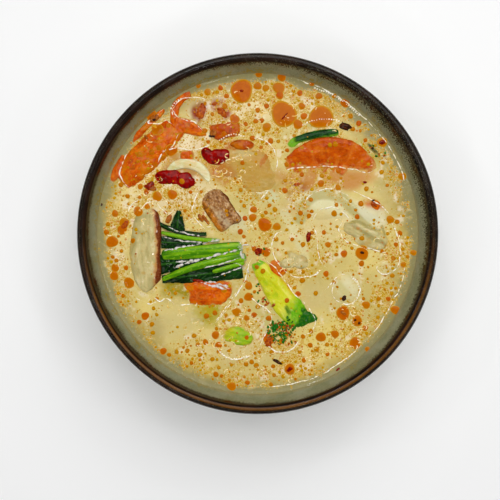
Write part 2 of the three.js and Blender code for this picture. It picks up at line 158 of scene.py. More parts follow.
def joined(parts):
    """Several (points, faces) as one."""
    starts = np.cumsum([0] + [len(points) for points, _ in parts[:-1]])
    points = np.concatenate([points for points, _ in parts])
    faces = [np.asarray(face) + start for start, (_, part) in zip(starts, parts) for face in part]
    return points, faces


def make_piece(name, points, faces, material, slot, node=None, **attributes):
    """A smooth-shaded mesh object that rides on the body, with values stored at its points."""
    mesh = bpy.data.meshes.new(name)
    mesh.from_pydata(np.asarray(points) * METRE, [], faces)
    for key, values in attributes.items():
        values = np.asarray(values, np.float32)
        kind, field = ("FLOAT", "value") if values.ndim == 1 else ("FLOAT_VECTOR", "vector")
        mesh.attributes.new(key, kind, "POINT").data.foreach_set(field, values.ravel())
    mesh.validate()
    mesh.shade_smooth()
    mesh.materials.append(material)
    piece = bpy.data.objects.new(name, mesh)
    bpy.context.scene.collection.objects.link(piece)
    if node:
        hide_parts(node)
    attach(piece, "root")
    return piece


def skin(parts, voxel):
    """One closed skin of small quads round overlapping lumps."""
    points, faces = joined(parts)
    mesh = bpy.data.meshes.new("lumps")
    mesh.from_pydata(points, [], faces)
    lumps = bpy.data.objects.new("lumps", mesh)
    bpy.context.scene.collection.objects.link(lumps)
    remesh = lumps.modifiers.new("skin", "REMESH")
    remesh.mode = "VOXEL"
    remesh.voxel_size = voxel
    made = lumps.evaluated_get(bpy.context.evaluated_depsgraph_get()).to_mesh()
    points = np.empty(len(made.vertices) * 3, np.float32)
    made.vertices.foreach_get("co", points)
    corners = np.empty(len(made.loops), np.int32)
    made.loops.foreach_get("vertex_index", corners)
    bpy.data.objects.remove(lumps)
    bpy.data.meshes.remove(mesh)
    return points.reshape(-1, 3).astype(float), corners.reshape(-1, 4)


# Materials

NOISE_ROUGHNESS = 0.55


class Look:
    """A material's node tree. A socket given as an input is linked, and any other value is set."""

    def __init__(self, name):
        self.material = bpy.data.materials.new(name)
        self.material.use_nodes = True
        self.tree = self.material.node_tree
        self.shader = self.tree.nodes["Principled BSDF"]

    def fill(self, node, inputs):
        for key, value in inputs.items():
            if isinstance(value, bpy.types.NodeSocket):
                self.tree.links.new(value, node.inputs[key])
            elif isinstance(value, (tuple, list)) and len(node.inputs[key].default_value) == 4:
                node.inputs[key].default_value = (*value[:3], 1)
            else:
                node.inputs[key].default_value = value

    def add(self, kind, inputs, **settings):
        node = self.tree.nodes.new(kind)
        for key, value in settings.items():
            setattr(node, key, value)
        self.fill(node, inputs)
        return node

    def surface(self, **inputs):
        """Sets the shader's sockets, whose names are written with underscores."""
        self.fill(self.shader, {key.replace("_", " "): value for key, value in inputs.items()})
        return self.material

    def place(self, scale=(1, 1, 1)):
        """The place in the object, in millimetres, stretched by scale."""
        coordinates = self.add("ShaderNodeTexCoord", {})
        stretch = tuple(share / METRE for share in scale)
        moved = self.add(
            "ShaderNodeVectorMath", {0: coordinates.outputs["Object"], 1: stretch}, operation="MULTIPLY"
        )
        return moved.outputs[0]

    def stored(self, name, output="Fac"):
        """What a mesh stores at its points."""
        return self.add("ShaderNodeAttribute", {}, attribute_name=name).outputs[output]

    def stretched(self, name, scale):
        """A stored vector, stretched by scale."""
        vector = self.stored(name, "Vector")
        return self.add("ShaderNodeVectorMath", {0: vector, 1: scale}, operation="MULTIPLY").outputs[0]

    def noise(self, vector, size, detail=3.0, warp=0.0):
        inputs = {"Vector": vector, "Scale": 1 / size, "Detail": detail, "Distortion": warp}
        inputs["Roughness"] = NOISE_ROUGHNESS
        return self.add("ShaderNodeTexNoise", inputs).outputs[0]

    def cells(self, vector, size, output="Distance"):
        return self.add("ShaderNodeTexVoronoi", {"Vector": vector, "Scale": 1 / size}).outputs[output]

    def math(self, operation, first, second=0.0):
        return self.add("ShaderNodeMath", {0: first, 1: second}, operation=operation).outputs[0]

    def product(self, first, *factors):
        """All the factors, multiplied."""
        for factor in factors:
            first = self.math("MULTIPLY", first, factor)
        return first

    def band(self, value, low, high, start=0.0, end=1.0):
        """Maps a value smoothly, from low..high to start..end."""
        inputs = {"Value": value, "From Min": low, "From Max": high, "To Min": start, "To Max": end}
        return self.add("ShaderNodeMapRange", inputs, interpolation_type="SMOOTHSTEP").outputs[0]

    def mix(self, factor, first, second):
        return self.add("ShaderNodeMix", {0: factor, 6: first, 7: second}, data_type="RGBA").outputs[2]

    def bump(self, height, distance, normal=None):
        """A bump of the given height in millimetres, on top of another where one is given."""
        inputs = {"Height": height, "Distance": distance * METRE}
        if normal is not None:
            inputs["Normal"] = normal
        return self.add("ShaderNodeBump", inputs).outputs[0]


def glaze_look():
    """Grey-green glaze that breaks to iron brown and amber at the lip, the amber shown mostly on the near
    side as painted light, with painted shade on the inner wall and pale ridge lines that are partly painted
    highlight, over bare clay at the foot.
    """
    look = Look("glaze")
    place = look.place()
    cloud = look.noise(place, 9, 4)
    grain = look.noise(place, 0.9, 3)
    streak = look.noise(look.place((1, 1, 0.16)), 0.5, 3)
    green = look.mix(look.band(cloud, 0.35, 0.65), srgb(128, 132, 99), srgb(146, 149, 122))
    green = look.mix(look.band(grain, 0.5, 0.8, 0, 0.4), green, srgb(168, 168, 138))
    green = look.mix(look.band(grain, 0.45, 0.25, 0, 0.35), green, srgb(96, 92, 58))
    specks = look.band(look.cells(place, 2.2), 0.04, 0.13, 0.6, 0)
    green = look.mix(specks, green, srgb(74, 66, 40))
    # Painted shade over the inner wall above the soup, deepest on the left, lightest on the far and right
    # sides
    green = look.mix(look.stored("shade"), green, srgb(78, 74, 50))
    stain = look.product(look.stored("stain"), look.band(look.noise(place, 1.6, 3), 0.42, 0.58))
    green = look.mix(stain, green, srgb(150, 126, 28))
    hairs = look.product(look.stored("hair"), look.band(streak, 0.3, 0.7, -0.5, 0.5))
    edge = look.math("ADD", look.stored("iron"), hairs)
    iron = look.mix(look.band(cloud, 0.35, 0.7), srgb(16, 9, 6), srgb(36, 19, 11))
    colour = look.mix(look.band(edge, 0.2, 0.8), green, iron)
    amber_glaze_and_light = look.product(look.stored("amber_glaze_and_light"), look.band(grain, 0.2, 0.6, 0.6, 1))
    colour = look.mix(amber_glaze_and_light, colour, srgb(114, 70, 8))
    colour = look.mix(look.stored("seam"), colour, srgb(38, 10, 6))
    # Pale lines on the lip's ridges: partly thinner glaze, partly painted highlight
    colour = look.mix(look.stored("ridge_glaze_and_highlight"), colour, srgb(98, 92, 82))
    clay = look.mix(look.band(grain, 0.3, 0.7), srgb(150, 124, 92), srgb(176, 150, 116))
    bare = look.stored("clay")
    colour = look.mix(bare, colour, clay)
    film = look.product(look.stored("film"), look.band(grain, 0.35, 0.6, 0.5, 1))
    colour = look.mix(film, colour, srgb(164, 146, 92))
    rough = look.math("ADD", look.band(cloud, 0.3, 0.7, 0.1, 0.2), look.product(bare, 0.6))
    normal = look.bump(look.noise(place, 2.4, 3), 0.08)
    normal = look.bump(grain, 0.03, normal=normal)
    look.surface(Base_Color=colour, Roughness=rough, Specular_IOR_Level=0.2, Normal=normal)
    return look.material


# Fine oil droplets in the soup: size of their cells in millimetres, reach as a share of it, and colour
DROPLETS = [(2.8, 0.26, (188, 112, 0)), (1.7, 0.3, (194, 136, 0)), (1.1, 0.34, (186, 150, 0))]


def soup_look():
    """Creamy soup: stored tints, swirls of fat, fine oil droplets of three sizes and thin curls of painted
    highlight.
    """
    look = Look("soup")
    place = look.place((1, 1, 0))
    oil = look.stored("oil")
    lively = look.band(oil, 0.0, 0.7, 0.12, 1)
    colour = look.stored("tint", "Vector")
    swirl = look.noise(place, 7, 5, 1.8)
    amount = look.product(look.band(swirl, 0.5, 0.68, 0, 0.8), lively)
    colour = look.mix(amount, colour, srgb(218, 202, 148))
    amount = look.product(look.band(swirl, 0.46, 0.3, 0, 0.7), lively)
    colour = look.mix(amount, colour, srgb(192, 158, 66))
    film = look.math("ADD", look.noise(place, 2.6, 4, 1.8), look.product(oil, 0.24))
    colour = look.mix(look.band(film, 0.65, 0.73, 0, 0.8), colour, srgb(198, 150, 16))
    fine = look.noise(place, 1.1, 3, 0.8)
    yellow = look.math("ADD", fine, look.product(oil, 0.2))
    colour = look.mix(look.band(yellow, 0.67, 0.73, 0, 0.9), colour, srgb(184, 142, 6))
    colour = look.mix(look.band(fine, 0.36, 0.28, 0, 0.5), colour, srgb(228, 214, 172))
    for size, reach, shade in DROPLETS:
        chosen = look.add("ShaderNodeSeparateColor", {0: look.cells(place, size, "Color")}).outputs[0]
        wanted = look.band(look.math("SUBTRACT", oil, chosen), 0.0, 0.12)
        distance = look.cells(place, size)
        edge = look.band(distance, reach * 1.35, reach * 1.15)
        colour = look.mix(look.product(edge, wanted, 0.3), colour, srgb(236, 220, 168))
        spot = look.band(distance, reach * 0.78, reach, 1, 0)
        colour = look.mix(look.product(spot, wanted, 0.92), colour, srgb(*shade))
    # Painted highlight: thin bright squiggles where edges of the oil film would catch the light
    highlight_curl = look.math("ABSOLUTE", look.math("SUBTRACT", look.noise(place, 2.4, 2, 2.5), 0.5))
    highlight_curl = look.band(highlight_curl, 0.004, 0.018, 1, 0)
    highlight_curl = look.product(highlight_curl, look.band(oil, 0.3, 0.9, 0, 0.75))
    colour = look.mix(highlight_curl, colour, srgb(248, 230, 164))
    colour = look.mix(look.stored("cream"), colour, srgb(238, 226, 200))
    normal = look.bump(look.noise(place, 3.2, 3, 0.8), 0.4)
    normal = look.bump(fine, 0.03, normal=normal)
    look.surface(Base_Color=colour, Roughness=0.4, Specular_IOR_Level=0.0, Normal=normal)
    look.surface(Coat_Weight=0.3, Coat_Roughness=0.05, Subsurface_Weight=0.04, Subsurface_Scale=0.001)
    return look.material


def food_look(name, deep, main, pale, size, grain=(1, 1, 1), **finish):
    """Three tones in clouds that are stretched by grain, with fine bumps and wet gloss."""
    look = Look(name)
    local = look.stretched("local", grain)
    place = look.place()
    cloud = look.noise(local, size, 5, 0.4)
    fine = look.noise(look.stretched("local", tuple((1 + share) / 2 for share in grain)), 0.8, 3, 0.3)
    colour = look.mix(look.band(cloud, 0.34, 0.5), srgb(*deep), srgb(*main))
    colour = look.mix(look.band(cloud, 0.52, 0.68), colour, srgb(*pale))
    speckle = finish.pop("speckle", 0.5)
    colour = look.mix(look.band(fine, 0.52, 0.7, 0, speckle), colour, srgb(*pale))
    colour = look.mix(look.band(fine, 0.46, 0.3, 0, speckle), colour, srgb(*deep))
    for stored, shade in finish.pop("layers", {}).items():
        amount = look.product(look.stored(stored), look.band(fine, 0.3, 0.6, 0.75, 1))
        colour = look.mix(amount, colour, srgb(*shade))
    uneven = look.band(look.noise(place, 1.8, 3, 0.5), 0.3, 0.5, 0.6, 1)
    film = look.product(look.stored("film"), uneven)
    colour = look.mix(film, colour, srgb(*SOUP_FILM))
    normal = look.bump(cloud, finish.pop("relief", 0.35))
    normal = look.bump(fine, finish.pop("grit", 0.16), normal=normal)
    settings = {"Roughness": 0.42, "Specular_IOR_Level": 0.0, "Coat_Weight": 0.3, "Coat_Roughness": 0.05}
    settings |= {"Subsurface_Weight": 0.1, "Subsurface_Scale": 0.0012}
    settings |= finish
    look.surface(Base_Color=colour, Normal=normal, **settings)
    return look.material


def oil_look():
    """Oil drops: small ones are thin and yellow, large ones amber, all with a soft yellow edge."""
    look = Look("oil")
    place = look.place()
    tone = look.stored("tone")
    rim = look.stored("rim")
    thick = look.math("SUBTRACT", 1.0, tone)
    colour = look.mix(tone, srgb(182, 80, 0), srgb(188, 144, 0))
    cloud = look.noise(place, 2.2, 4, 0.8)
    amount = look.product(look.band(cloud, 0.42, 0.66, 0, 0.7), thick)
    colour = look.mix(amount, colour, srgb(198, 108, 0))
    amount = look.product(look.band(rim, 0.35, 0.75, 0.3, 0), thick)
    colour = look.mix(amount, colour, srgb(172, 76, 0))
    colour = look.mix(look.band(rim, 0.8, 1.0, 0, 0.85), colour, srgb(208, 156, 34))
    normal = look.bump(cloud, 0.05)
    look.surface(Base_Color=colour, Normal=normal, Roughness=0.35, Specular_IOR_Level=0.0)
    look.surface(Coat_Weight=0.18, Coat_Roughness=0.03)
    return look.material


SOUP_FILM = (206, 174, 94)
GLAZE = glaze_look()
SOUP = soup_look()
OIL = oil_look()
LOOKS = {
    "stem": food_look(
        "stem", (66, 126, 4), (112, 166, 8), (156, 194, 44), 2.2, (0.08, 1, 1),
        layers={"dark": (26, 92, 10), "cream": (206, 206, 178)}, relief=0.25,
    ),
    "leaf": food_look(
        "leaf", (3, 20, 4), (8, 38, 6), (22, 66, 12), 3, (0.3, 1, 1),
        layers={"vein": (44, 96, 24), "dark": (2, 16, 3)}, relief=0.4,
    ),
    "chicken": food_look(
        "chicken", (178, 162, 104), (198, 182, 124), (216, 202, 152), 2.4, (0.16, 1, 1),
        layers={"grey": (160, 148, 92), "gold": (182, 96, 8), "oil": (188, 138, 28), "skin": (106, 38, 8)},
        relief=0.3, speckle=0.35,
    ),
    "browned": food_look(
        "browned", (112, 66, 30), (164, 114, 62), (204, 168, 120), 1.5, (0.7, 1, 1),
        layers={
            "grey": (196, 172, 134), "gold": (198, 118, 12), "oil": (196, 130, 20), "skin": (92, 36, 8),
        },
        relief=0.5, grit=0.25, speckle=0.75,
    ),
    "carrot": food_look(
        "carrot", (172, 58, 0), (202, 82, 0), (222, 116, 12), 2.6, (0.5, 1, 1),
        layers={"vein": (224, 130, 44), "dark": (140, 48, 0), "oil": (200, 118, 4)},
        relief=0.3, grit=0.16,
    ),
    "chilli": food_look(
        "chilli", (104, 0, 0), (138, 2, 0), (160, 12, 2), 2.4, (1, 1, 1),
        layers={"dark": (70, 2, 2), "oil": (184, 76, 14)}, relief=0.15, grit=0.08, speckle=0.25,
    ),
    "zucchini": food_look(
        "zucchini", (180, 188, 16), (204, 204, 36), (222, 216, 84), 3.4, (0.4, 1, 1),
        layers={"rind": (96, 168, 12), "skin": (14, 88, 12), "oil": (212, 158, 34)},
        relief=0.25, speckle=0.35,
    ),
    "rind": food_look(
        "rind", (4, 34, 8), (14, 62, 16), (40, 104, 30), 1.6, (0.4, 1, 1),
        layers={"rind": (120, 176, 40)}, relief=0.4,
    ),
    "onion": food_look(
        "onion", (204, 196, 136), (222, 216, 168), (242, 238, 208), 2, (0.12, 1, 1),
        layers={"oil": (214, 160, 52)}, relief=0.25,
    ),
}


# The bowl


def arc(centre, radius, start, end, steps):
    """Points of an arc, its angles in degrees."""
    angles = np.radians(np.linspace(start, end, steps + 1))
    return [(centre[0] + radius * math.cos(a), centre[1] + radius * math.sin(a)) for a in angles]


def inner_wall(share):
    radius = FLOOR_RADIUS + (LIP_INNER_RADIUS - FLOOR_RADIUS) * share
    return radius, FLOOR_TOP + (LIP_CENTRE_HEIGHT - FLOOR_TOP) * share**INNER_CURVE


def outer_wall(share):
    radius = FOOT_RADIUS + (RIM_RADIUS - FOOT_RADIUS) * share
    return radius, FOOT_HEIGHT + (LIP_CENTRE_HEIGHT - FOOT_HEIGHT) * share**OUTER_CURVE


def inner_radius(height):
    """The wall's inside radius at a height."""
    share = np.clip((np.asarray(height, float) - FLOOR_TOP) / (LIP_CENTRE_HEIGHT - FLOOR_TOP), 0, 1)
    return FLOOR_RADIUS + (LIP_INNER_RADIUS - FLOOR_RADIUS) * share ** (1 / INNER_CURVE)


def bowl_profile():
    """The bowl's section, from the middle of its underside round the lip to the middle of its floor."""
    foot_inner = FOOT_RADIUS - FOOT_RING_WIDTH
    e = FOOT_EDGE
    points = [(0, FOOT_RECESS), (foot_inner / 2, FOOT_RECESS)]
    points += arc((foot_inner - e, FOOT_RECESS - e), e, 90, 0, 3)
    points += arc((foot_inner + e, e), e, 180, 270, 4)
    points += arc((FOOT_RADIUS - e, e), e, 270, 360, 4)
    points += arc((FOOT_RADIUS + FOOT_FILLET, FOOT_HEIGHT - FOOT_FILLET), FOOT_FILLET, 180, 90, 5)
    points += [outer_wall(share) for share in np.linspace(0.06, 1, 30)]
    points += arc((LIP_CENTRE_RADIUS, LIP_CENTRE_HEIGHT), LIP_RADIUS, 0, 180, 36)[1:]
    points += [inner_wall(share) for share in np.linspace(1, 0, 40)[1:]]
    points += [(FLOOR_RADIUS / 2, FLOOR_TOP), (0, FLOOR_TOP)]
    return np.array(points)


def turned(profile, sides):
    """A closed body turned from a profile that starts and ends on the axis."""
    angles = np.arange(sides) * 2 * math.pi / sides
    inner = profile[1:-1]
    rings = [np.column_stack([r * np.cos(angles), r * np.sin(angles), np.full(sides, z)]) for r, z in inner]
    points = np.concatenate([*rings, [[0, 0, profile[0][1]], [0, 0, profile[-1][1]]]])
    first, last = len(points) - 2, len(points) - 1
    faces = []
    for ring in range(len(inner) - 1):
        for i in range(sides):
            a, b = ring * sides + i, ring * sides + (i + 1) % sides
            faces.append((a, b, b + sides, a + sides))
    top = (len(inner) - 1) * sides
    for i in range(sides):
        following = (i + 1) % sides
        faces.append((first, following, i))
        faces.append((last, top + i, top + following))
    return points, faces


# The glaze, in millimetres along the bowl's section from the top of the lip, inwards
DRIP_INSIDE = 5.4
DRIP_OUTSIDE = 8
SEAM_RUN = 2.9
AMBER_RUN = 0.8
RIDGES_RUN = -1.3
BARE_CLAY_WIDTH = 2

# The throwing marks on the outside wall, which nearly all press into it
THROWN_SIZE = 3.2
THROWN_DEPTH = 0.12
THROWN_SWING = 0.1


def glaze_values(points, run, angle, radius):
    """What the glaze's look reads at each point: iron, amber with painted light on the near side, seam,
    stains, painted shade, clay, and ridge lines that are partly painted highlight.
    """
    inside = run > 0
    uneven = noise(points, 7, 3, 3)
    far_side = ease(np.sin(angle), -0.2, 0.9)
    lower = ease(-np.sin(angle), -0.15, 0.6)
    upper_right = np.maximum(np.cos(angle - math.radians(40)), 0)
    right_side = np.maximum(np.cos(angle), 0)
    left_side = np.maximum(-np.cos(angle), 0) ** 2
    drip = DRIP_INSIDE + 1.7 * np.cos(2 * (angle - math.radians(25))) + 0.5 * uneven
    reach = np.where(inside, drip, DRIP_OUTSIDE + 2.2 * uneven)
    softness = np.where(inside, 0.9 + 2.2 * upper_right, 3)
    amber_run = AMBER_RUN - 0.6 * np.cos(angle - math.radians(320))
    # Amber where the glaze breaks at the lip; that it shows nearly only on the near side is painted light
    # falling on the lip there
    amber_glaze_and_light = ease(np.abs(run - amber_run), 1.0, 0.35) * (0.04 + 0.96 * lower) * (0.8 + 0.25 * uneven)
    above = points[:, 2] - SOUP_LEVEL
    wet = ease(above, 7.5, 1) * inside
    blotches = noise(points, 5.5, 11, 3) + 0.6 * np.cos(angle - math.radians(140))
    # Painted shade on the inner wall: how much on each side, most on the left, least on the far and right
    # sides
    painted_shade_by_side = 0.25 - 0.2 * far_side + 0.4 * left_side - 0.2 * right_side
    # Pale lines on the lip's ridges: partly thinner glaze, partly painted highlight
    ridge_glaze_and_highlight = ease(np.sin(2 * math.pi * run / RIDGE_SPACING + 0.5 * uneven), 0.5, 1)
    ridge_glaze_and_highlight *= 0.4 * ease(np.abs(run - RIDGES_RUN), 1.7, 1.1) * (0.7 + 0.4 * uneven)
    on_ring = radius > FOOT_RADIUS - FOOT_RING_WIDTH - BARE_CLAY_WIDTH
    return {
        "iron": np.clip(0.5 + 0.5 * (reach - np.abs(run)) / softness, 0, 1),
        "hair": np.where(inside, 0.25 + 0.75 * upper_right, 0.8),
        "amber_glaze_and_light": amber_glaze_and_light,
        "seam": ease(np.abs(run - SEAM_RUN), 0.8, 0.2) * (0.2 + 0.5 * lower),
        "stain": wet * ease(blotches, -0.1, 0.6),
        "shade": np.clip(inside * ease(above, 3, 9) * painted_shade_by_side, 0, 1),
        "film": inside * ease(above + 0.6 * uneven, 2.6, 0.6),
        "ridge_glaze_and_highlight": ridge_glaze_and_highlight,
        "clay": ease(points[:, 2], FOOT_HEIGHT - 2.5, FOOT_HEIGHT - 3.2) * on_ring,
    }


def make_bowl():
    profile = bowl_profile()
    steps = np.linalg.norm(np.diff(profile, axis=0), axis=1)
    travelled = np.concatenate([[0], np.cumsum(steps)])
    crest = travelled[np.argmax(profile[:, 1])]
    points, faces = turned(profile, BOWL_SIDES)
    run = np.concatenate([np.repeat(travelled[1:-1], BOWL_SIDES), [travelled[0], travelled[-1]]]) - crest
    angle = np.arctan2(points[:, 1], points[:, 0])
    radius = np.hypot(points[:, 0], points[:, 1])
    stored = glaze_values(points, run, angle, radius)
    marks = noise(np.column_stack([run, 0.5 * angle, 0 * run]), THROWN_SIZE, 5, 2)
    outside_wall = (run < -4) & (points[:, 2] > FOOT_HEIGHT + 2)
    squeeze = np.where(outside_wall, (THROWN_SWING * marks - THROWN_DEPTH) * ease(-run, 4, 10), 0)
    points[:, :2] *= (1 + squeeze / np.maximum(radius, 1))[:, None]
    make_piece("bowl_glazed", points, faces, GLAZE, "glaze", "bowl", **stored)


# Pieces of food, as in the model. size: length, width and thickness. rise: how far the top
# stands above the soup. turn: degrees about up. tilt: degrees about its own length. curve:
# radius that its length bends round. plan and side: how square its outline and section are.


def signed_power(value, exponent):
    return np.sign(value) * np.abs(value) ** exponent


def placed(points, shape, thick):
    """Turns, tilts and places points, and keeps them clear of the bowl's wall."""
    turn = math.radians(shape.get("turn", 0))
    tilt = math.radians(shape.get("tilt", 0))
    x, y, z = points.T
    y, z = y * math.cos(tilt) - z * math.sin(tilt), y * math.sin(tilt) + z * math.cos(tilt)
    x, y = x * math.cos(turn) - y * math.sin(turn), x * math.sin(turn) + y * math.cos(turn)
    x = x + shape["at"][0]
    y = y + shape["at"][1]
    z = z + shape["rise"] - thick / 2
    limit = inner_radius(SOUP_LEVEL + z) - WALL_CLEARANCE
    kept = np.minimum(limit / np.maximum(np.hypot(x, y), 1e-6), 1)
    return np.column_stack([x * kept, y * kept, z + SOUP_LEVEL])


def bent(points, radius):
    """Bends the length round a circle, in plan."""
    if not radius:
        return points
    angle = points[:, 0] / radius
    reach = radius - points[:, 1]
    return np.column_stack([reach * np.sin(angle), radius - reach * np.cos(angle), points[:, 2]])


def ball(around, rings):
    """Directions over a ball and its faces. The poles are up and down."""
    tilts = np.linspace(0, math.pi, rings + 1)[1:-1]
    turns = np.arange(around) * 2 * math.pi / around
    tilt, turn = (grid.ravel() for grid in np.meshgrid(tilts, turns, indexing="ij"))
    points = np.column_stack([np.sin(tilt) * np.cos(turn), np.sin(tilt) * np.sin(turn), np.cos(tilt)])
    points = np.concatenate([points, [[0, 0, 1], [0, 0, -1]]])
    top, bottom = len(points) - 2, len(points) - 1
    faces = []
    for ring in range(rings - 2):
        for i in range(around):
            a, b = ring * around + i, ring * around + (i + 1) % around
            faces.append((a, a + around, b + around, b))
    last = (rings - 2) * around
    for i in range(around):
        following = (i + 1) % around
        faces.append((top, i, following))
        faces.append((bottom, last + following, last + i))
    return points, faces


def lump(shape, around=64, rings=40):
    """A squared ellipsoid that can be tapered, bent, arched and uneven."""
    length, width, thick = shape["size"]
    plan, side = shape.get("plan", 2.4), shape.get("side", 2.6)
    directions, faces = ball(around, rings)
    x, y, z = directions.T
    if shape.get("long"):
        along = 1 - 2 * np.arccos(np.clip(z, -1, 1)) / math.pi
        ring = np.maximum(1 - np.abs(along) ** plan, 0) ** (1 / plan)
        level = np.maximum(np.hypot(x, y), 1e-9)
        across = ring * signed_power(y / level, 2 / side)
        up = ring * signed_power(-x / level, 2 / side)
    else:
        level = np.sqrt(np.maximum(1 - z * z, 0))
        ring = level ** (2 / side)
        level = np.maximum(level, 1e-9)
        along = ring * signed_power(x / level, 2 / plan)
        across = ring * signed_power(y / level, 2 / plan)
        up = signed_power(z, 2 / side)
    ripple = np.sin(along * 5 + shape["at"][0]) * np.cos(across * 4 + shape["at"][1])
    swell = 1 + 2 * shape.get("wave", 0) * ripple / width
    beside = np.array([*shape["at"], 0])
    swell += shape.get("uneven", 0.05) * noise(directions * 1.5 + beside, 1, 23, 2)
    points = np.column_stack(
        [
            along * length / 2 * swell * (1 + shape.get("keystone", 0) * across),
            across * width / 2 * (1 + shape.get("taper", 0) * along) * swell,
            up * thick / 2 - shape.get("arch", 0) * along**2,
        ]
    )
    return placed(bent(points, shape.get("curve", 0)), shape, thick), faces


def local_places(points, shape):
    """Places along, across and up, in the frame of a piece's first shape."""
    turn = math.radians(shape.get("turn", 0))
    x = points[:, 0] - shape["at"][0]
    y = points[:, 1] - shape["at"][1]
    along = x * math.cos(turn) + y * math.sin(turn)
    across = y * math.cos(turn) - x * math.sin(turn)
    return np.column_stack([along, across, points[:, 2] - SOUP_LEVEL])


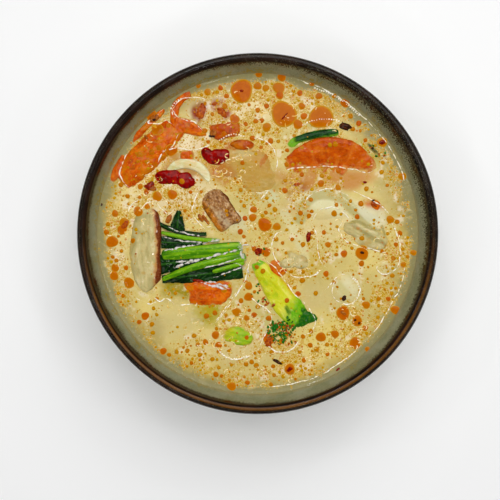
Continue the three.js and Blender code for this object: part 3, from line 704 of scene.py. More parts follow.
PIECES = {
    "stem_main": (
        "stem",
        dict(
            long=True, at=(-28, -9.1), size=(42, 6.7, 3.4), rise=3, turn=4.5, plan=7, taper=0.2,
            arch=0.8,
        ),
    ),
    "stem_low": (
        "stem",
        dict(
            long=True, at=(-27.5, -15.5), size=(44, 3.8, 2.8), rise=2.8, turn=15, plan=6, taper=0.3,
            curve=-110,
        ),
    ),
    "stem_short": (
        "stem",
        dict(long=True, at=(-14.7, -17), size=(17, 2.3, 1.6), rise=2.7, turn=16, plan=5),
    ),
    "stem_top": (
        "stem",
        dict(long=True, at=(-34.2, -2.3), size=(31, 2.2, 1.6), rise=2.4, turn=-8, plan=5, curve=100),
    ),
    "chicken_slice": (
        "chicken",
        dict(
            at=(-57, -7.6), size=(42, 16, 7), rise=2.6, turn=90, tilt=-10, plan=2.8, side=4, curve=-88,
            wave=0.4,
        ),
    ),
    "chicken_brown": (
        "browned",
        dict(
            at=(-19, 12.2), size=(21, 13.6, 7), rise=2.4, turn=-54, plan=5, side=4, wave=0.3,
            keystone=0.06,
        ),
    ),
    "chicken_right": (
        "chicken",
        dict(at=(50, 1.6), size=(14, 7.4, 4.6), rise=1.8, turn=-25, uneven=0.14),
        dict(at=(57.5, -2.7), size=(17, 10, 5), rise=1.6, turn=-14, uneven=0.14),
        dict(at=(55.4, 1.2), size=(14, 3.4, 4), rise=2.2, turn=-16, uneven=0.1),
    ),
    "chicken_small": (
        "chicken",
        dict(at=(15.2, -15.1), size=(8.5, 5.5, 4), rise=1.6, turn=8, uneven=0.16),
        dict(at=(22, -14.4), size=(7.6, 6.6, 4), rise=1.7, uneven=0.16),
        dict(at=(18.4, -11.4), size=(8, 3.6, 4), rise=1.1, turn=-24, uneven=0.16),
    ),
    "chicken_gold": (
        "chicken",
        dict(at=(-5.5, 36), size=(35, 20, 8), rise=1.3, turn=-10, plan=2.6, wave=0.8, uneven=0.12),
        dict(at=(0.5, 25.5), size=(22, 14, 6), rise=0.6, turn=-20, wave=0.5, uneven=0.12),
    ),
    "chilli_left": (
        "chilli",
        dict(at=(-45.2, 28.8), size=(14, 7.6, 4.6), rise=1.6, turn=2, wave=0.3, uneven=0.1),
        dict(at=(-37, 27.4), size=(10.5, 8, 4.4), rise=1.7, turn=-22, wave=0.3, uneven=0.1),
    ),
    "chilli_middle": (
        "chilli",
        dict(at=(-25, 39.9), size=(9.4, 5.8, 4), rise=1.6, turn=-55),
        dict(at=(-18.8, 39.5), size=(11, 7.6, 4.2), rise=1.8, turn=-4),
        dict(at=(-21.5, 37.4), size=(9, 5, 4), rise=1.4, turn=-8),
    ),
    "carrot_slice": (
        "carrot",
        dict(at=(36.5, 25.5), size=(54, 48, 6.5), rise=-1.24, tilt=9, plan=2, side=8, uneven=0.02),
    ),
    "carrot_chunk": (
        "carrot",
        dict(at=(-54.6, 41), size=(40, 16, 9), rise=2.3, turn=46, plan=4, side=3, wave=0.5, uneven=0.1),
    ),
    "carrot_curl": (
        "carrot",
        dict(long=True, at=(-42.1, 61.9), size=(27, 4.6, 2.8), rise=0.9, turn=-100, plan=6, curve=12.3),
    ),
    "carrot_flake": (
        "carrot",
        dict(at=(-35.6, 54.6), size=(20, 7.4, 2.4), rise=0.8, turn=-25, plan=1.8, uneven=0.1),
    ),
    "carrot_middle": (
        "carrot",
        dict(at=(-16.2, 52.2), size=(17, 9, 4), rise=1.1, turn=8, plan=2.8, uneven=0.16),
    ),
    "carrot_lens": ("carrot", dict(at=(-7.6, 45.2), size=(12.6, 5, 3), rise=1.6, turn=-2, plan=1.9)),
    "carrot_cube": (
        "carrot",
        dict(at=(-35.7, 40), size=(7.4, 5.7, 5), rise=1, plan=3.5, side=3.5, uneven=0.08),
    ),
    "carrot_sliver_high": (
        "carrot",
        dict(long=True, at=(-55.9, 55.2), size=(24, 3.4, 3.2), rise=1.2, turn=45, plan=3, curve=-79),
    ),
    "carrot_sliver_low": (
        "carrot",
        dict(long=True, at=(-71, 33), size=(17, 4.6, 4), rise=1.1, turn=68, taper=-0.25),
    ),
    "carrot_small": (
        "carrot",
        dict(at=(10.3, -17.3), size=(10, 7.5, 4), rise=0.9, turn=-35, uneven=0.1),
    ),
    "carrot_end": ("carrot", dict(at=(60, 15), size=(5.8, 4.6, 3), rise=1, turn=-30, uneven=0.1)),
    "carrot_low": (
        "carrot",
        dict(at=(-25, -30), size=(23.5, 12.8, 5), rise=1.3, plan=5, side=3, uneven=0.1, keystone=0.2),
    ),
    "zucchini_wedge": (
        "zucchini",
        dict(
            at=(10.8, -30.2), size=(42, 13, 6), rise=1.7, turn=-52, taper=0.28, plan=3, side=3,
            uneven=0.07,
        ),
        dict(at=(25.2, -42.2), size=(11, 6.4, 5), rise=1.3, turn=-12, plan=1.7, side=3),
    ),
    "zucchini_bit": (
        "zucchini",
        dict(at=(-11.2, -51.1), size=(14, 9, 5), rise=1.2, turn=5),
        dict(at=(-8.1, -52.7), size=(12, 9, 4.5), rise=1.5, turn=-10),
    ),
    "zucchini_rind": (
        "rind",
        dict(long=True, at=(29.3, 50.2), size=(24, 4.4, 6), rise=1.6, turn=11, plan=5, curve=-70),
        dict(at=(18.6, 46.6), size=(8, 5, 4), rise=0.8, turn=38, uneven=0.1),
    ),
    "zucchini_end": (
        "rind",
        dict(long=True, at=(59.3, 42.5), size=(14, 2.6, 4), rise=0.7, turn=-48, curve=-30),
    ),
    "onion_crescent": (
        "onion",
        dict(long=True, at=(-33.5, 35.4), size=(27, 5.4, 2.6), rise=1.3, turn=-14, plan=2.2, curve=-12),
    ),
}

LEAVES = {
    "leaf_band": dict(
        at=(-38.8, 0.9), size=(26, 2.6, 1), rise=1.9, turn=-13, curve=43, ends=(0.8, 0.7), bulge=0.2,
    ),
    "leaf_upper": dict(
        at=(-38.3, -4.6), size=(21, 6.4, 0.9), rise=1.3, turn=-2, ends=(1, 0.25), bulge=0.1,
    ),
    "leaf_middle": dict(
        at=(-33.4, -13.4), size=(33, 9.6, 0.9), rise=1.2, turn=8, ends=(1, 0.6), bulge=0.1,
    ),
    "leaf_lower": dict(
        at=(-28, -20.6), size=(41, 10.5, 0.9), rise=0.9, turn=7, ends=(0.35, 0.85), bulge=0.15, ripple=0.2
    ),
    "leaf_tip": dict(at=(-40.3, 6.8), size=(10, 8, 0.9), rise=1.5, turn=85, ends=(1, 0.25), bulge=0.1),
}

# How high the film of soup reaches on the pieces that hardly stand out of it
FILM_HEIGHT = 0.4
FILM_HEIGHTS = {
    "carrot_middle": 0.45, "carrot_cube": 0.9, "carrot_lens": 0.9, "carrot_flake": 0.5, "carrot_small": 0.6,
    "chicken_gold": 0.1, "chicken_small": 0.8, "chicken_right": 0.7, "zucchini_bit": 0.75,
    "zucchini_end": 0.8, "carrot_low": 0.6, "carrot_slice": 0.3,
}

# Pieces whose grain is shorter than their kind's
GRAIN_LENGTHS = {"chicken_gold": (5, 1, 1), "chicken_slice": (2.5, 1, 1), "chicken_small": (4, 1, 1)}

# Each kind's relief: (size, height, stretch along the piece) of each layer of noise
RELIEF = {
    "stem": [(2.5, 0.12, 0.08), (0.8, 0.06, 0.08)],
    "chicken": [(6, 0.3, 0.4), (1.6, 0.13, 0.3), (0.8, 0.06, 0.4)],
    "browned": [(4, 0.4, 0.7), (1.5, 0.28, 0.5), (0.8, 0.14, 0.8)],
    "carrot": [(5, 0.3, 0.8), (1.7, 0.18, 0.8), (0.8, 0.08, 1)],
    "chilli": [(3.2, 0.22, 1), (1.3, 0.06, 1)],
    "zucchini": [(4, 0.3, 0.7), (1.3, 0.15, 0.8)],
    "rind": [(3, 0.14, 0.4), (1, 0.08, 0.6)],
    "onion": [(2, 0.12, 0.1)],
}

# Size of the quads in a piece's skin, and the length past which a piece gets the large ones
VOXEL = 0.36
LARGE_VOXEL = 0.45
LARGE_PIECE = 50

# How far the soup climbs beside a piece, as a share of its rise, and how fast that fades
WETTING_SHARE = 0.3
WETTING_REACH = 0.9


def roughened(points, faces, kind, local, seed):
    """Points moved out along their normals by the relief of their kind."""
    normals = vertex_normals(points, faces)
    moved = points.copy()
    for layer, (size, height, stretch) in enumerate(RELIEF[kind]):
        stretched = local * np.array([stretch, 1, 1])
        moved += normals * (height * noise(stretched, size, seed + layer, 2))[:, None]
    return moved


class Places:
    """Where a piece's points lie along, across and above it, and the noises that its masks share."""

    def __init__(self, points, local):
        self.points = points
        self.local = local
        self.along, self.across, self.up = local.T
        self.blotch = noise(points, 4.5, 41, 3)
        self.fine = noise(points, 1.5, 43, 2)
        self.none = np.zeros(len(points))
        self.sunk = ease(self.up, 0.75, 0.0)

    def near(self, pixel, half, turn, inner, outer=1.2):
        """1 in the ellipse round a pixel of the photograph, fading out past it, with an uneven edge."""
        places = self.points[:, :2] + 1.2 * np.column_stack([self.blotch, self.fine])
        return ease(turned_share(places, seen_at(*pixel), half, turn), outer, inner)


# What the looks read at the points of each kind: skin, films, veins and shadows


def stem_values(at, name):
    half = 21 if name in ("stem_main", "stem_low") else 10
    fibres = noise(at.local * (0.05, 1, 1), 1.2, 7)
    return {
        "dark": np.clip(0.8 * ease(fibres, 0.05, 0.7) + 0.5 * at.sunk, 0, 1),
        "cream": 0.8 * ease(at.along, half * 0.86, half) * ease(at.fine, -0.2, 0.5),
        "film": at.none,
    }


def meat_values(at, _):
    spots = at.fine + at.blotch
    return {
        "grey": 0.6 * ease(at.blotch, 0.1, 0.8),
        "gold": at.none,
        "skin": at.none,
        "oil": 0.4 * ease(spots, 0.4, 1.0),
    }


def carrot_values(at, _):
    return {
        "oil": 0.75 * ease(at.blotch + 0.5 * at.fine, 0.0, 0.8),
        "dark": np.clip(0.5 * at.sunk + 0.7 * ease(at.fine, 0.35, 0.9), 0, 1),
        "vein": 0.4 * ease(at.fine - at.blotch, 0.5, 1.1),
    }


def chilli_values(at, _):
    return {"dark": 0.8 * ease(at.fine, 0.3, 0.9), "oil": 0.5 * ease(at.up, 0.6, 0.1)}


def zucchini_values(at, _):
    spots = at.fine + at.blotch
    return {"rind": 0.3 * ease(at.blotch, 0.2, 1), "skin": at.none, "oil": 0.3 * ease(spots, 0.5, 1.0)}


def rind_values(at, _):
    flesh = ease(-at.across + 0.3 * at.fine, 1.2, 2.4) + ease(-at.along, 9.5, 12)
    return {"rind": np.clip(flesh, 0, 1)}


def onion_values(at, _):
    return {"oil": 0.4 * ease(at.blotch, 0, 0.9)}


KIND_VALUES = {
    "stem": stem_values, "chicken": meat_values, "browned": meat_values, "carrot": carrot_values,
    "chilli": chilli_values, "zucchini": zucchini_values, "rind": rind_values, "onion": onion_values,
}


# What single pieces have in place of their kind's values


def chicken_slice_values(at, stored):
    """A browned edge along the right side, darkened further as painted shade where that edge stands up,
    pale meat, and soup over the left side.
    """
    inward = at.across + 7.0 + 0.5 * at.fine + 0.4 * at.blotch - 0.004 * at.along**2
    grey = 0.6 * ease(at.across + at.blotch, 2.5, 7.5) + 0.5 * ease(at.blotch, 0.1, 0.9)
    return {
        # The dark edge is partly browned skin and partly painted shade along the raised side
        "skin": ease(inward, 1.0, 0.4),
        "gold": 0.7 * ease(inward, 2.4, 0.9),
        "grey": np.clip(grey, 0, 1),
        "film": 0.7 * ease(at.across + 1.2 * at.blotch, 5.5, 8.5),
        "oil": 0.5 * ease(noise(at.points, 2.2, 45, 2), 0.55, 0.9),
    }


def chicken_brown_values(at, stored):
    """Golden along one side, seared along the other, and pale on top."""
    seared = 0.75 * ease(at.fine + 0.5 * at.blotch, 0.35, 0.8)
    top = ease(np.abs(at.across + 1.2 + 0.8 * at.blotch), 2.6, 0.8)
    return {
        "gold": 0.9 * ease(-at.across + 0.8 * at.blotch, 3.6, 5.6),
        "skin": np.maximum(seared, 0.9 * ease(at.across, 5.2, 6.4)),
        "grey": 0.8 * top * ease(at.along, -4, 3),
    }


def chicken_gold_values(at, stored):
    """Golden under oil, with a pale patch, browned and burnt ones, a fold and a tube at its right end."""
    lower = ease(at.points[:, 1] + at.blotch * 2, 31, 23)
    pale = at.near((242, 153), (7, 2), -6, 0.6)
    brown = at.near((222, 172), (8, 6), 0, 0.4)
    burnt = at.near((230, 145), (6, 3), -10, 0.4)
    fold = at.near((265, 160), (4, 1.2), 60, 0.6, 1.3)
    tube = ease(np.abs(at.points[:, 0] - seen_at(271, 160)[0]), 2.2, 1.2)
    mottled = ease(at.blotch + 0.4 * at.fine, -0.1, 0.7)
    browned = 0.8 * brown + 0.85 * burnt + 0.9 * fold + 0.4 * mottled * (1 - lower)
    gold = np.clip(browned, 0, 0.95) * (1 - pale)
    oil = np.clip(0.8 + 0.3 * mottled - 0.2 * lower, 0, 1) * (1 - 0.6 * pale)
    return {
        "oil": oil * (1 - 0.85 * gold),
        "gold": gold,
        "grey": np.clip(0.4 * lower * ease(-at.blotch, 0, 0.6) + 0.2 * tube, 0, 1),
    }


def chicken_right_values(at, stored):
    """A darker fold between its two lobes, painted shade in the crease."""
    fold = np.abs(at.across - 1.5 + 0.12 * at.along + 0.5 * at.blotch)
    return {
        # Painted shade in the crease between the lobes
        "grey": np.clip(0.9 * ease(fold, 1.5, 0.4) + 0.4 * ease(at.blotch, 0.1, 0.7), 0, 1),
        "gold": 0.7 * ease(fold, 0.9, 0.3) * ease(at.fine, 0.2, 0.6),
    }


def sunk_carrot_values(at, stored):
    """Dark under a film of oil."""
    return {"dark": 0.5 + 0.5 * ease(at.fine, 0.0, 0.8), "oil": 0.6 * ease(at.blotch, -0.3, 0.6)}


def carrot_slice_values(at, stored):
    """Rays from the heart of the slice and a darker edge."""
    bend = 0.02 * (at.across - 4) ** 2 * np.sign(at.along)
    angle = np.arctan2(at.across + 8, at.along - 0.35 * bend)
    out = np.hypot(at.along, at.across)
    rays = noise(np.column_stack([angle * 15, out * 0.16, at.none]), 1.5, 51, 3)
    dark = 0.25 * ease(-rays, 0.3, 1.0) + 0.4 * ease(out, 24, 26)
    return {
        "vein": 0.5 * ease(rays, 0.25, 0.95),
        "dark": np.clip(dark + 0.22, 0, 1),
        "oil": 0.25 * ease(at.blotch, 0.3, 1),
    }


def zucchini_bit_values(at, stored):
    """Ribbed green with oil over its upper left."""
    ribs = ease(np.sin(2.4 * at.across + 0.8 * at.along + at.fine), 0.2, 0.9)
    upper_left = -at.along + at.across + at.blotch
    return {
        "rind": np.clip(0.2 + 0.4 * ease(at.along + at.blotch, -3, 4) + 0.2 * ribs, 0, 1),
        "skin": 0.15 * ribs + 0.2 * ease(upper_left, 0, 6),
        "oil": 0.5 * ease(upper_left, 2, 8),
    }


def zucchini_wedge_values(at, stored):
    """Green at both ends, dark skin and a dark streak at the lower one, and soup along its left side."""
    top_end = ease(-at.along + 0.8 * at.fine, 15.5, 17.5)
    low_end = 0.9 * ease(at.along + 1.5 * at.fine + 0.4 * at.across, 5, 13)
    beside = np.abs(at.across + 1.5 + 0.25 * (at.along - 9) + 0.6 * at.fine)
    streak = ease(beside, 1.4, 0.5) * ease(np.abs(at.along - 9.5), 3.4, 1.5)
    skin_end = ease(at.along + 1.2 * at.fine + 0.5 * at.across, 15.2, 17)
    left_side = 0.85 * ease(-at.across + at.blotch - 0.15 * at.along, 5.4, 7.2)
    return {
        "rind": np.clip(top_end + low_end + 0.25 * ease(at.blotch, 0.2, 0.9), 0, 1),
        "skin": np.clip(skin_end + 0.8 * streak, 0, 1),
        "oil": 0.6 * ease(at.across + 0.8 * at.blotch, 3.6, 5.6) * ease(at.along, 8, 2),
        "film": np.maximum(stored["film"], left_side),
    }


PIECE_VALUES = {
    "chicken_slice": chicken_slice_values, "chicken_brown": chicken_brown_values,
    "chicken_gold": chicken_gold_values, "chicken_right": chicken_right_values,
    "carrot_middle": sunk_carrot_values, "carrot_lens": sunk_carrot_values,
    "carrot_slice": carrot_slice_values, "zucchini_bit": zucchini_bit_values,
    "zucchini_wedge": zucchini_wedge_values,
}


def stored_values(name, kind, points, local):
    """What the looks read at each point of a piece."""
    at = Places(points, local)
    film_height = FILM_HEIGHTS.get(name, FILM_HEIGHT)
    uneven_height = at.up + 0.25 * at.blotch + 0.2 * at.fine
    stored = {"film": 0.9 * ease(uneven_height, film_height, film_height - 0.7)}
    stored |= KIND_VALUES[kind](at, name)
    if name in PIECE_VALUES:
        stored |= PIECE_VALUES[name](at, stored)
    return stored


def make_topping(name, seed):
    """A piece of food at full detail, and its points and faces for the soup to wet."""
    kind, *shapes = PIECES[name]
    parts = [lump(shape) for shape in shapes]
    voxel = LARGE_VOXEL if shapes[0]["size"][0] > LARGE_PIECE else VOXEL
    points, faces = skin(parts, voxel)
    local = local_places(points, shapes[0])
    points = roughened(points, faces, kind, local, seed)
    local = local_places(points, shapes[0])
    stored = stored_values(name, kind, points, local)
    grain = local * GRAIN_LENGTHS.get(name, (1, 1, 1))
    make_piece(f"food_{name}", points, faces, LOOKS[kind], kind, name, local=grain, **stored)
    return points, faces, WETTING_SHARE * max(shape["rise"] for shape in shapes)


def leaf(shape, steps=72, rows=20):
    """A thin wavy strip of leaf with a raised rib and side veins."""
    length, width, thick = shape["size"]
    first, last = shape["ends"]
    u, v = np.meshgrid(np.linspace(0, 1, steps + 1), np.linspace(-1, 1, rows + 1), indexing="ij")
    u, v = u.ravel(), v.ravel()
    along = 2 * u - 1
    full = first + (last - first) * u + shape["bulge"] * np.sin(math.pi * u)
    ragged = 1 + 0.1 * noise(np.column_stack([along * 6, v * 0 + shape["at"][0]]), 1, 61, 2)
    wave = shape.get("ripple", 0.35) * np.sin(along * 6 + shape["at"][0]) * np.cos(v * 2.5)
    wave += 0.16 * noise(np.column_stack([along * length / 2, v * width / 2]), 2.2, 63, 2)
    side_veins = np.abs(((along * length / 2 + np.abs(v) * width * 0.5) / 2.6) % 1 - 0.5) * 2
    side_veins = 0.6 * ease(side_veins, 0.8, 0.97) * ease(np.abs(v), 1, 0.7)
    vein = np.maximum(ease(np.abs(v), 0.14, 0.03), side_veins)
    skin_half = thick / 2 * (0.45 + 0.55 * (1 - v**4))
    faces = []
    row = rows + 1
    lower = (steps + 1) * row
    for i, j in itertools.product(range(steps), range(rows)):
        a, b = i * row + j, (i + 1) * row + j
        faces.append((a, b, b + 1, a + 1))
        faces.append((lower + a, lower + a + 1, lower + b + 1, lower + b))
    rim = [i * row for i in range(steps)]
    rim += [steps * row + j for j in range(rows)]
    rim += [i * row + rows for i in range(steps, 0, -1)]
    rim += list(range(rows, 0, -1))
    faces += [(a, lower + a, lower + b, b) for a, b in zip(rim, rim[1:] + rim[:1])]
    sheets = []
    for side in (1, -1):
        relief = 0.14 * vein if side > 0 else 0 * vein
        flat = np.column_stack(
            [along * length / 2, v * width / 2 * full * ragged, wave + relief + side * skin_half]
        )
        sheets.append(placed(bent(flat, shape.get("curve", 0)), shape, thick))
    return np.concatenate(sheets), faces, np.concatenate([vein, vein])


def make_leaf(name):
    shape = LEAVES[name]
    points, faces, vein = leaf(shape)
    local = local_places(points, shape)
    dark = np.clip(0.7 * ease(local[:, 2], 0.9, 0.1) + 0.5 * ease(noise(points, 3, 71, 2), 0.1, 0.8), 0, 1)
    stored = {"vein": vein, "dark": dark, "film": np.zeros(len(points))}
    make_piece(f"food_{name}", points, faces, LOOKS["leaf"], "leaf", name, local=local, **stored)
    return points, faces, WETTING_SHARE * shape["rise"]


# The soup's surface

# Pieces under the surface that lift it: place, length and width, height and turn
MOUNDS = [
    ((33.4, 14), (30, 14), 1.1, -8),
    ((55.4, 11.9), (12, 9), 0.9, -30),
    ((45.2, -28.1), (16, 17), 1.1, 0),
    ((66.7, -16.3), (11, 8), 0.8, 20),
    ((22, -8), (30, 26), 0.7, 0),
    ((-26.5, -39), (20, 13), 0.9, 20),
    ((-42, -31), (18, 9), 0.8, 10),
    ((-24, 61), (24, 14), 0.8, 0),
]

# Patches of colour: pixel, half length and half width in millimetres, turn, colour and strength
PATCHES = [
    ((250, 95), (44, 16), 0, (232, 210, 156), 0.8),
    ((326, 106), (26, 10), -24, (230, 206, 140), 0.7),
    ((120, 200), (12, 34), -10, (232, 208, 138), 0.85),
    ((112, 270), (9, 22), 12, (228, 210, 162), 0.8),
    ((178, 196), (24, 12), 0, (228, 208, 166), 0.8),
    ((208, 98), (22, 12), -15, (218, 198, 172), 0.8),
    ((190, 142), (20, 7), 15, (238, 220, 180), 0.85),
    ((148, 166), (12, 5), 40, (240, 222, 186), 0.8),
    ((228, 122), (12, 7), 0, (236, 218, 174), 0.7),
    ((304, 180), (19, 8), -6, (188, 128, 56), 0.95),
    ((342, 178), (20, 6.5), 0, (194, 132, 60), 0.95),
    ((294, 188), (9, 6), -20, (160, 88, 22), 0.9),
    ((200, 111), (4.4, 6.8), -15, (138, 34, 2), 1),
    ((221, 111), (8, 4.4), -45, (154, 56, 4), 1),
    # Painted highlight: a white glare left of the carrot chunk
    ((127, 148), (2.4, 5), -30, (226, 222, 206), 0.9),
    ((372, 204), (5.5, 3.4), -30, (190, 92, 14), 0.9),
    ((308, 200), (16, 6), 20, (198, 168, 118), 0.7),
    ((322, 202), (16, 8), -14, (220, 216, 172), 0.85),
    ((352, 214), (13, 8), -45, (222, 214, 168), 0.8),
    ((328, 226), (17, 9), 0, (216, 196, 136), 0.8),
    ((290, 244), (12, 10), 0, (216, 194, 122), 0.75),
    ((372, 216), (9, 6), -40, (222, 216, 180), 0.75),
    ((346, 288), (7, 8), 0, (218, 210, 166), 0.8),
    ((388, 268), (6, 5), 0, (214, 204, 150), 0.7),
    ((178, 290), (10, 5.5), -10, (150, 132, 16), 1),
    ((206, 311), (11, 7.5), 15, (170, 154, 30), 1),
    ((318, 298), (14, 9), 0, (204, 184, 120), 0.8),
    ((170, 322), (18, 12), 0, (204, 186, 122), 0.85),
    ((246, 178), (10, 9), 0, (190, 160, 76), 0.75),
    ((252, 196), (9, 9), 0, (202, 192, 130), 0.8),
    ((238, 200), (6, 10), 0, (196, 176, 100), 0.6),
    ((262, 222), (10, 12), 0, (206, 182, 110), 0.6),
    ((240, 222), (9, 6), 0, (212, 204, 160), 0.7),
    ((300, 262), (14, 10), 0, (204, 174, 80), 0.7),
    ((268, 276), (8, 5), -50, (214, 138, 34), 0.8),
    ((340, 344), (24, 14), -20, (222, 200, 114), 0.9),
    ((270, 318), (10, 8), 0, (184, 178, 110), 0.6),
    ((235, 345), (26, 10), 0, (212, 190, 130), 0.7),
    ((290, 372), (34, 9), 8, (214, 188, 116), 0.6),
    ((394, 170), (8, 18), -35, (182, 166, 104), 0.7),
    ((366, 150), (9, 4), -50, (170, 168, 66), 0.7),
    ((300, 148), (7, 4), 40, (160, 170, 60), 0.7),
    ((148, 120), (14, 5), 45, (206, 120, 20), 0.85),
    ((140, 134), (7, 4), 50, (214, 150, 24), 0.8),
    ((168, 148), (6, 8), 40, (220, 132, 40), 0.7),
    ((250, 152), (16, 7), -5, (204, 160, 74), 0.8),
    ((230, 160), (22, 14), -10, (190, 132, 44), 0.6),
    ((222, 172), (8, 6), 0, (182, 96, 14), 0.9),
    ((230, 146), (8, 4.5), -10, (176, 98, 20), 0.85),
    ((256, 186), (12, 7), -10, (178, 142, 54), 0.8),
    ((182, 172), (12, 6), -10, (166, 104, 48), 0.7),
    ((172, 162), (7, 5), 30, (178, 122, 60), 0.7),
    ((140, 334), (10, 16), -40, (172, 154, 100), 0.7),
    ((392, 200), (8, 13), -20, (190, 168, 100), 0.7),
    ((398, 288), (6, 15), 15, (184, 162, 96), 0.7),
]
# Pale arches of what lies under the surface, and dark folds painted as shade: pixels, half width, colour
# and strength
BANDS = [
    ([(299, 219), (303, 207), (312, 197), (326, 194), (340, 197), (350, 208), (360, 219), (370, 227)], 2.9,
     (184, 172, 112), 1),
    ([(343, 197), (352, 205), (362, 216), (372, 225)], 0.5, (216, 212, 166), 0.9),
    ([(361, 210), (366, 216), (374, 221)], 2.6, (216, 210, 172), 0.95),
    # Painted shade in the creases by the folded piece on the right
    ([(346, 230), (349, 223), (357, 222), (368, 227), (378, 230)], 0.9, (150, 136, 68), 0.9),
    ([(380, 226), (383, 235), (381, 243)], 0.8, (138, 126, 62), 0.8),
    ([(284, 212), (296, 236), (304, 256), (300, 266)], 2.6, (214, 206, 158), 0.6),
    ([(250, 184), (262, 190), (272, 198)], 3.4, (206, 204, 158), 0.8),
    ([(336, 282), (341, 288), (346, 294)], 2.2, (200, 188, 124), 0.8),
]

# The soup's own colour, and the greyer ones at its edge, where it lies thin over the wall
BASE_COLOUR = (207, 186, 112)
EDGE_COLOUR = (142, 134, 90)
OUTER_COLOUR = (178, 154, 80)

# How much free oil shows: everywhere, more towards the edge, and in zones that are given as pixel,
# radius in millimetres and amount
BASE_OIL = 0.15
EDGE_OIL = 0.27
OIL_ZONES = [
    ((262, 96), 34, 0.9),
    ((200, 95), 26, 0.6),
    ((320, 112), 26, 0.8),
    ((150, 130), 24, 0.8),
    ((160, 190), 16, 0.8),
    ((118, 222), 14, 0.6),
    ((112, 262), 12, 0.6),
    ((240, 160), 18, 0.7),
    ((292, 278), 9, 0.9),
    ((262, 222), 12, 0.5),
    ((300, 190), 16, 0.6),
    ((402, 250), 12, 0.7),
    ((376, 160), 14, 0.5),
    ((356, 330), 22, 0.55),
    ((270, 350), 26, 0.45),
    ((236, 318), 12, 0.5),
    ((300, 365), 20, 0.5),
    ((150, 320), 14, 0.3),
    ((330, 240), 16, 0.3),
    ((194, 346), 10, 0.55),
    ((254, 198), 9, 0.6),
    ((190, 200), 16, 0.6),
    ((206, 150), 12, 0.7),
    ((330, 184), 14, 0.5),
    ((384, 298), 9, 0.6),
    ((297, 276), 7, 0.8),
]

# Calm creamy places without oil: pixel and radius in millimetres
CALM_PLACES = [
    ((318, 298), 11), ((172, 322), 14), ((330, 218), 8), ((346, 288), 7), ((212, 282), 7),
    ((380, 205), 8), ((306, 178), 6), ((352, 178), 6), ((200, 111), 6), ((321, 201), 8),
    ((366, 216), 6),
]

# Lines of coconut cream, and painted highlights along wet edges, as pixels of the photograph
CREAM_AND_HIGHLIGHT_LINES = {
    "below_slice": [(146, 301), (153, 297), (160, 300), (167, 297), (176, 304), (183, 304), (193, 303)],
    "below_slice_low": [(136, 297), (144, 301), (150, 303), (156, 301)],
    "left_of_wedge": [(214, 322), (222, 314), (229, 305), (235, 295), (243, 282), (247, 268), (252, 256)],
    "left_of_wedge_low": [(216, 320), (226, 306), (236, 290)],
    "low_bay": [(217, 346), (222, 354), (232, 358), (244, 357), (254, 351)],
    "beside_wedge": [(248, 292), (256, 302), (266, 308), (271, 316), (268, 326), (262, 338), (257, 350)],
    "beside_wedge_low": [(262, 342), (276, 350), (290, 349), (298, 340)],
    "right_of_wedge": [(266, 260), (275, 268), (287, 284), (296, 296), (300, 297)],
    "ring_left": [(271, 246), (274, 257), (281, 267), (292, 275), (302, 276), (314, 274), (322, 268)],
    "ring_top": [(271, 246), (273, 237), (282, 229)],
    "pool": [(310, 222), (316, 235), (317, 250), (321, 262), (326, 268)],
    "arch_outer": [(302, 206), (308, 196), (320, 190), (334, 189), (348, 196)],
    "arch_inner": [(311, 222), (316, 212), (326, 207), (337, 208), (345, 215), (352, 222)],
    "right_piece": [(341, 221), (338, 230), (345, 240), (357, 245), (372, 249), (386, 253)],
    "right_piece_top": [(352, 190), (366, 197), (380, 205), (388, 214)],
    "loop": [
        (388, 219), (395, 232), (399, 248), (398, 262),
        (390, 272), (380, 273), (376, 266), (384, 261),
    ],
    "lump_ring": [
        (336, 277), (331, 288), (334, 298), (344, 303),
        (354, 300), (359, 290), (357, 281), (349, 274),
    ],
    "lump_ring_left": [(322, 290), (329, 284), (337, 276), (344, 273)],
    "wedge_end": [(302, 300), (310, 310), (314, 320), (311, 330), (303, 334)],
    "round_curl": [(173, 118), (172, 110), (176, 103), (185, 98), (196, 97), (206, 99)],
    "round_curl_low": [(172, 110), (177, 117), (186, 120), (194, 122), (203, 131)],
    "slice_top": [(139, 212), (146, 203), (155, 202), (162, 209), (169, 214), (174, 207)],
    "slice_left": [(128, 212), (131, 204), (138, 200)],
    "carrot_foot": [(278, 171), (292, 168), (310, 167), (330, 166), (352, 169), (368, 172), (378, 166)],
    "gold_right": [(250, 138), (264, 140), (272, 148), (276, 160), (275, 172)],
    "film_right": [(164, 108), (156, 116), (148, 122), (158, 124), (166, 120), (174, 126)],
    "chunk_left": [(128, 152), (124, 160), (120, 172), (124, 182), (132, 188), (140, 184)],
    "chunk_right": [(178, 134), (172, 146), (163, 152), (158, 164)],
    "chilli_top": [(162, 152), (176, 148), (192, 150), (206, 146), (214, 140)],
    "brown_left": [(199, 190), (194, 200), (192, 212), (198, 222), (206, 230)],
    "brown_right": [(256, 204), (262, 196), (270, 188)],
    # Painted highlights along the soup's edge at the wall
    "wall_upper_right": [(296, 80), (318, 87), (338, 97), (358, 113), (376, 131)],
    "wall_right": [(376, 131), (390, 150), (399, 168), (404, 184)],
    "wall_lower_right": [(404, 262), (400, 282), (392, 300), (378, 324), (362, 343)],
    "wall_bottom": [(362, 343), (340, 361), (316, 375), (290, 383), (264, 386)],
    "wall_lower_left": [(112, 300), (122, 322), (136, 342), (154, 360), (172, 372)],
}
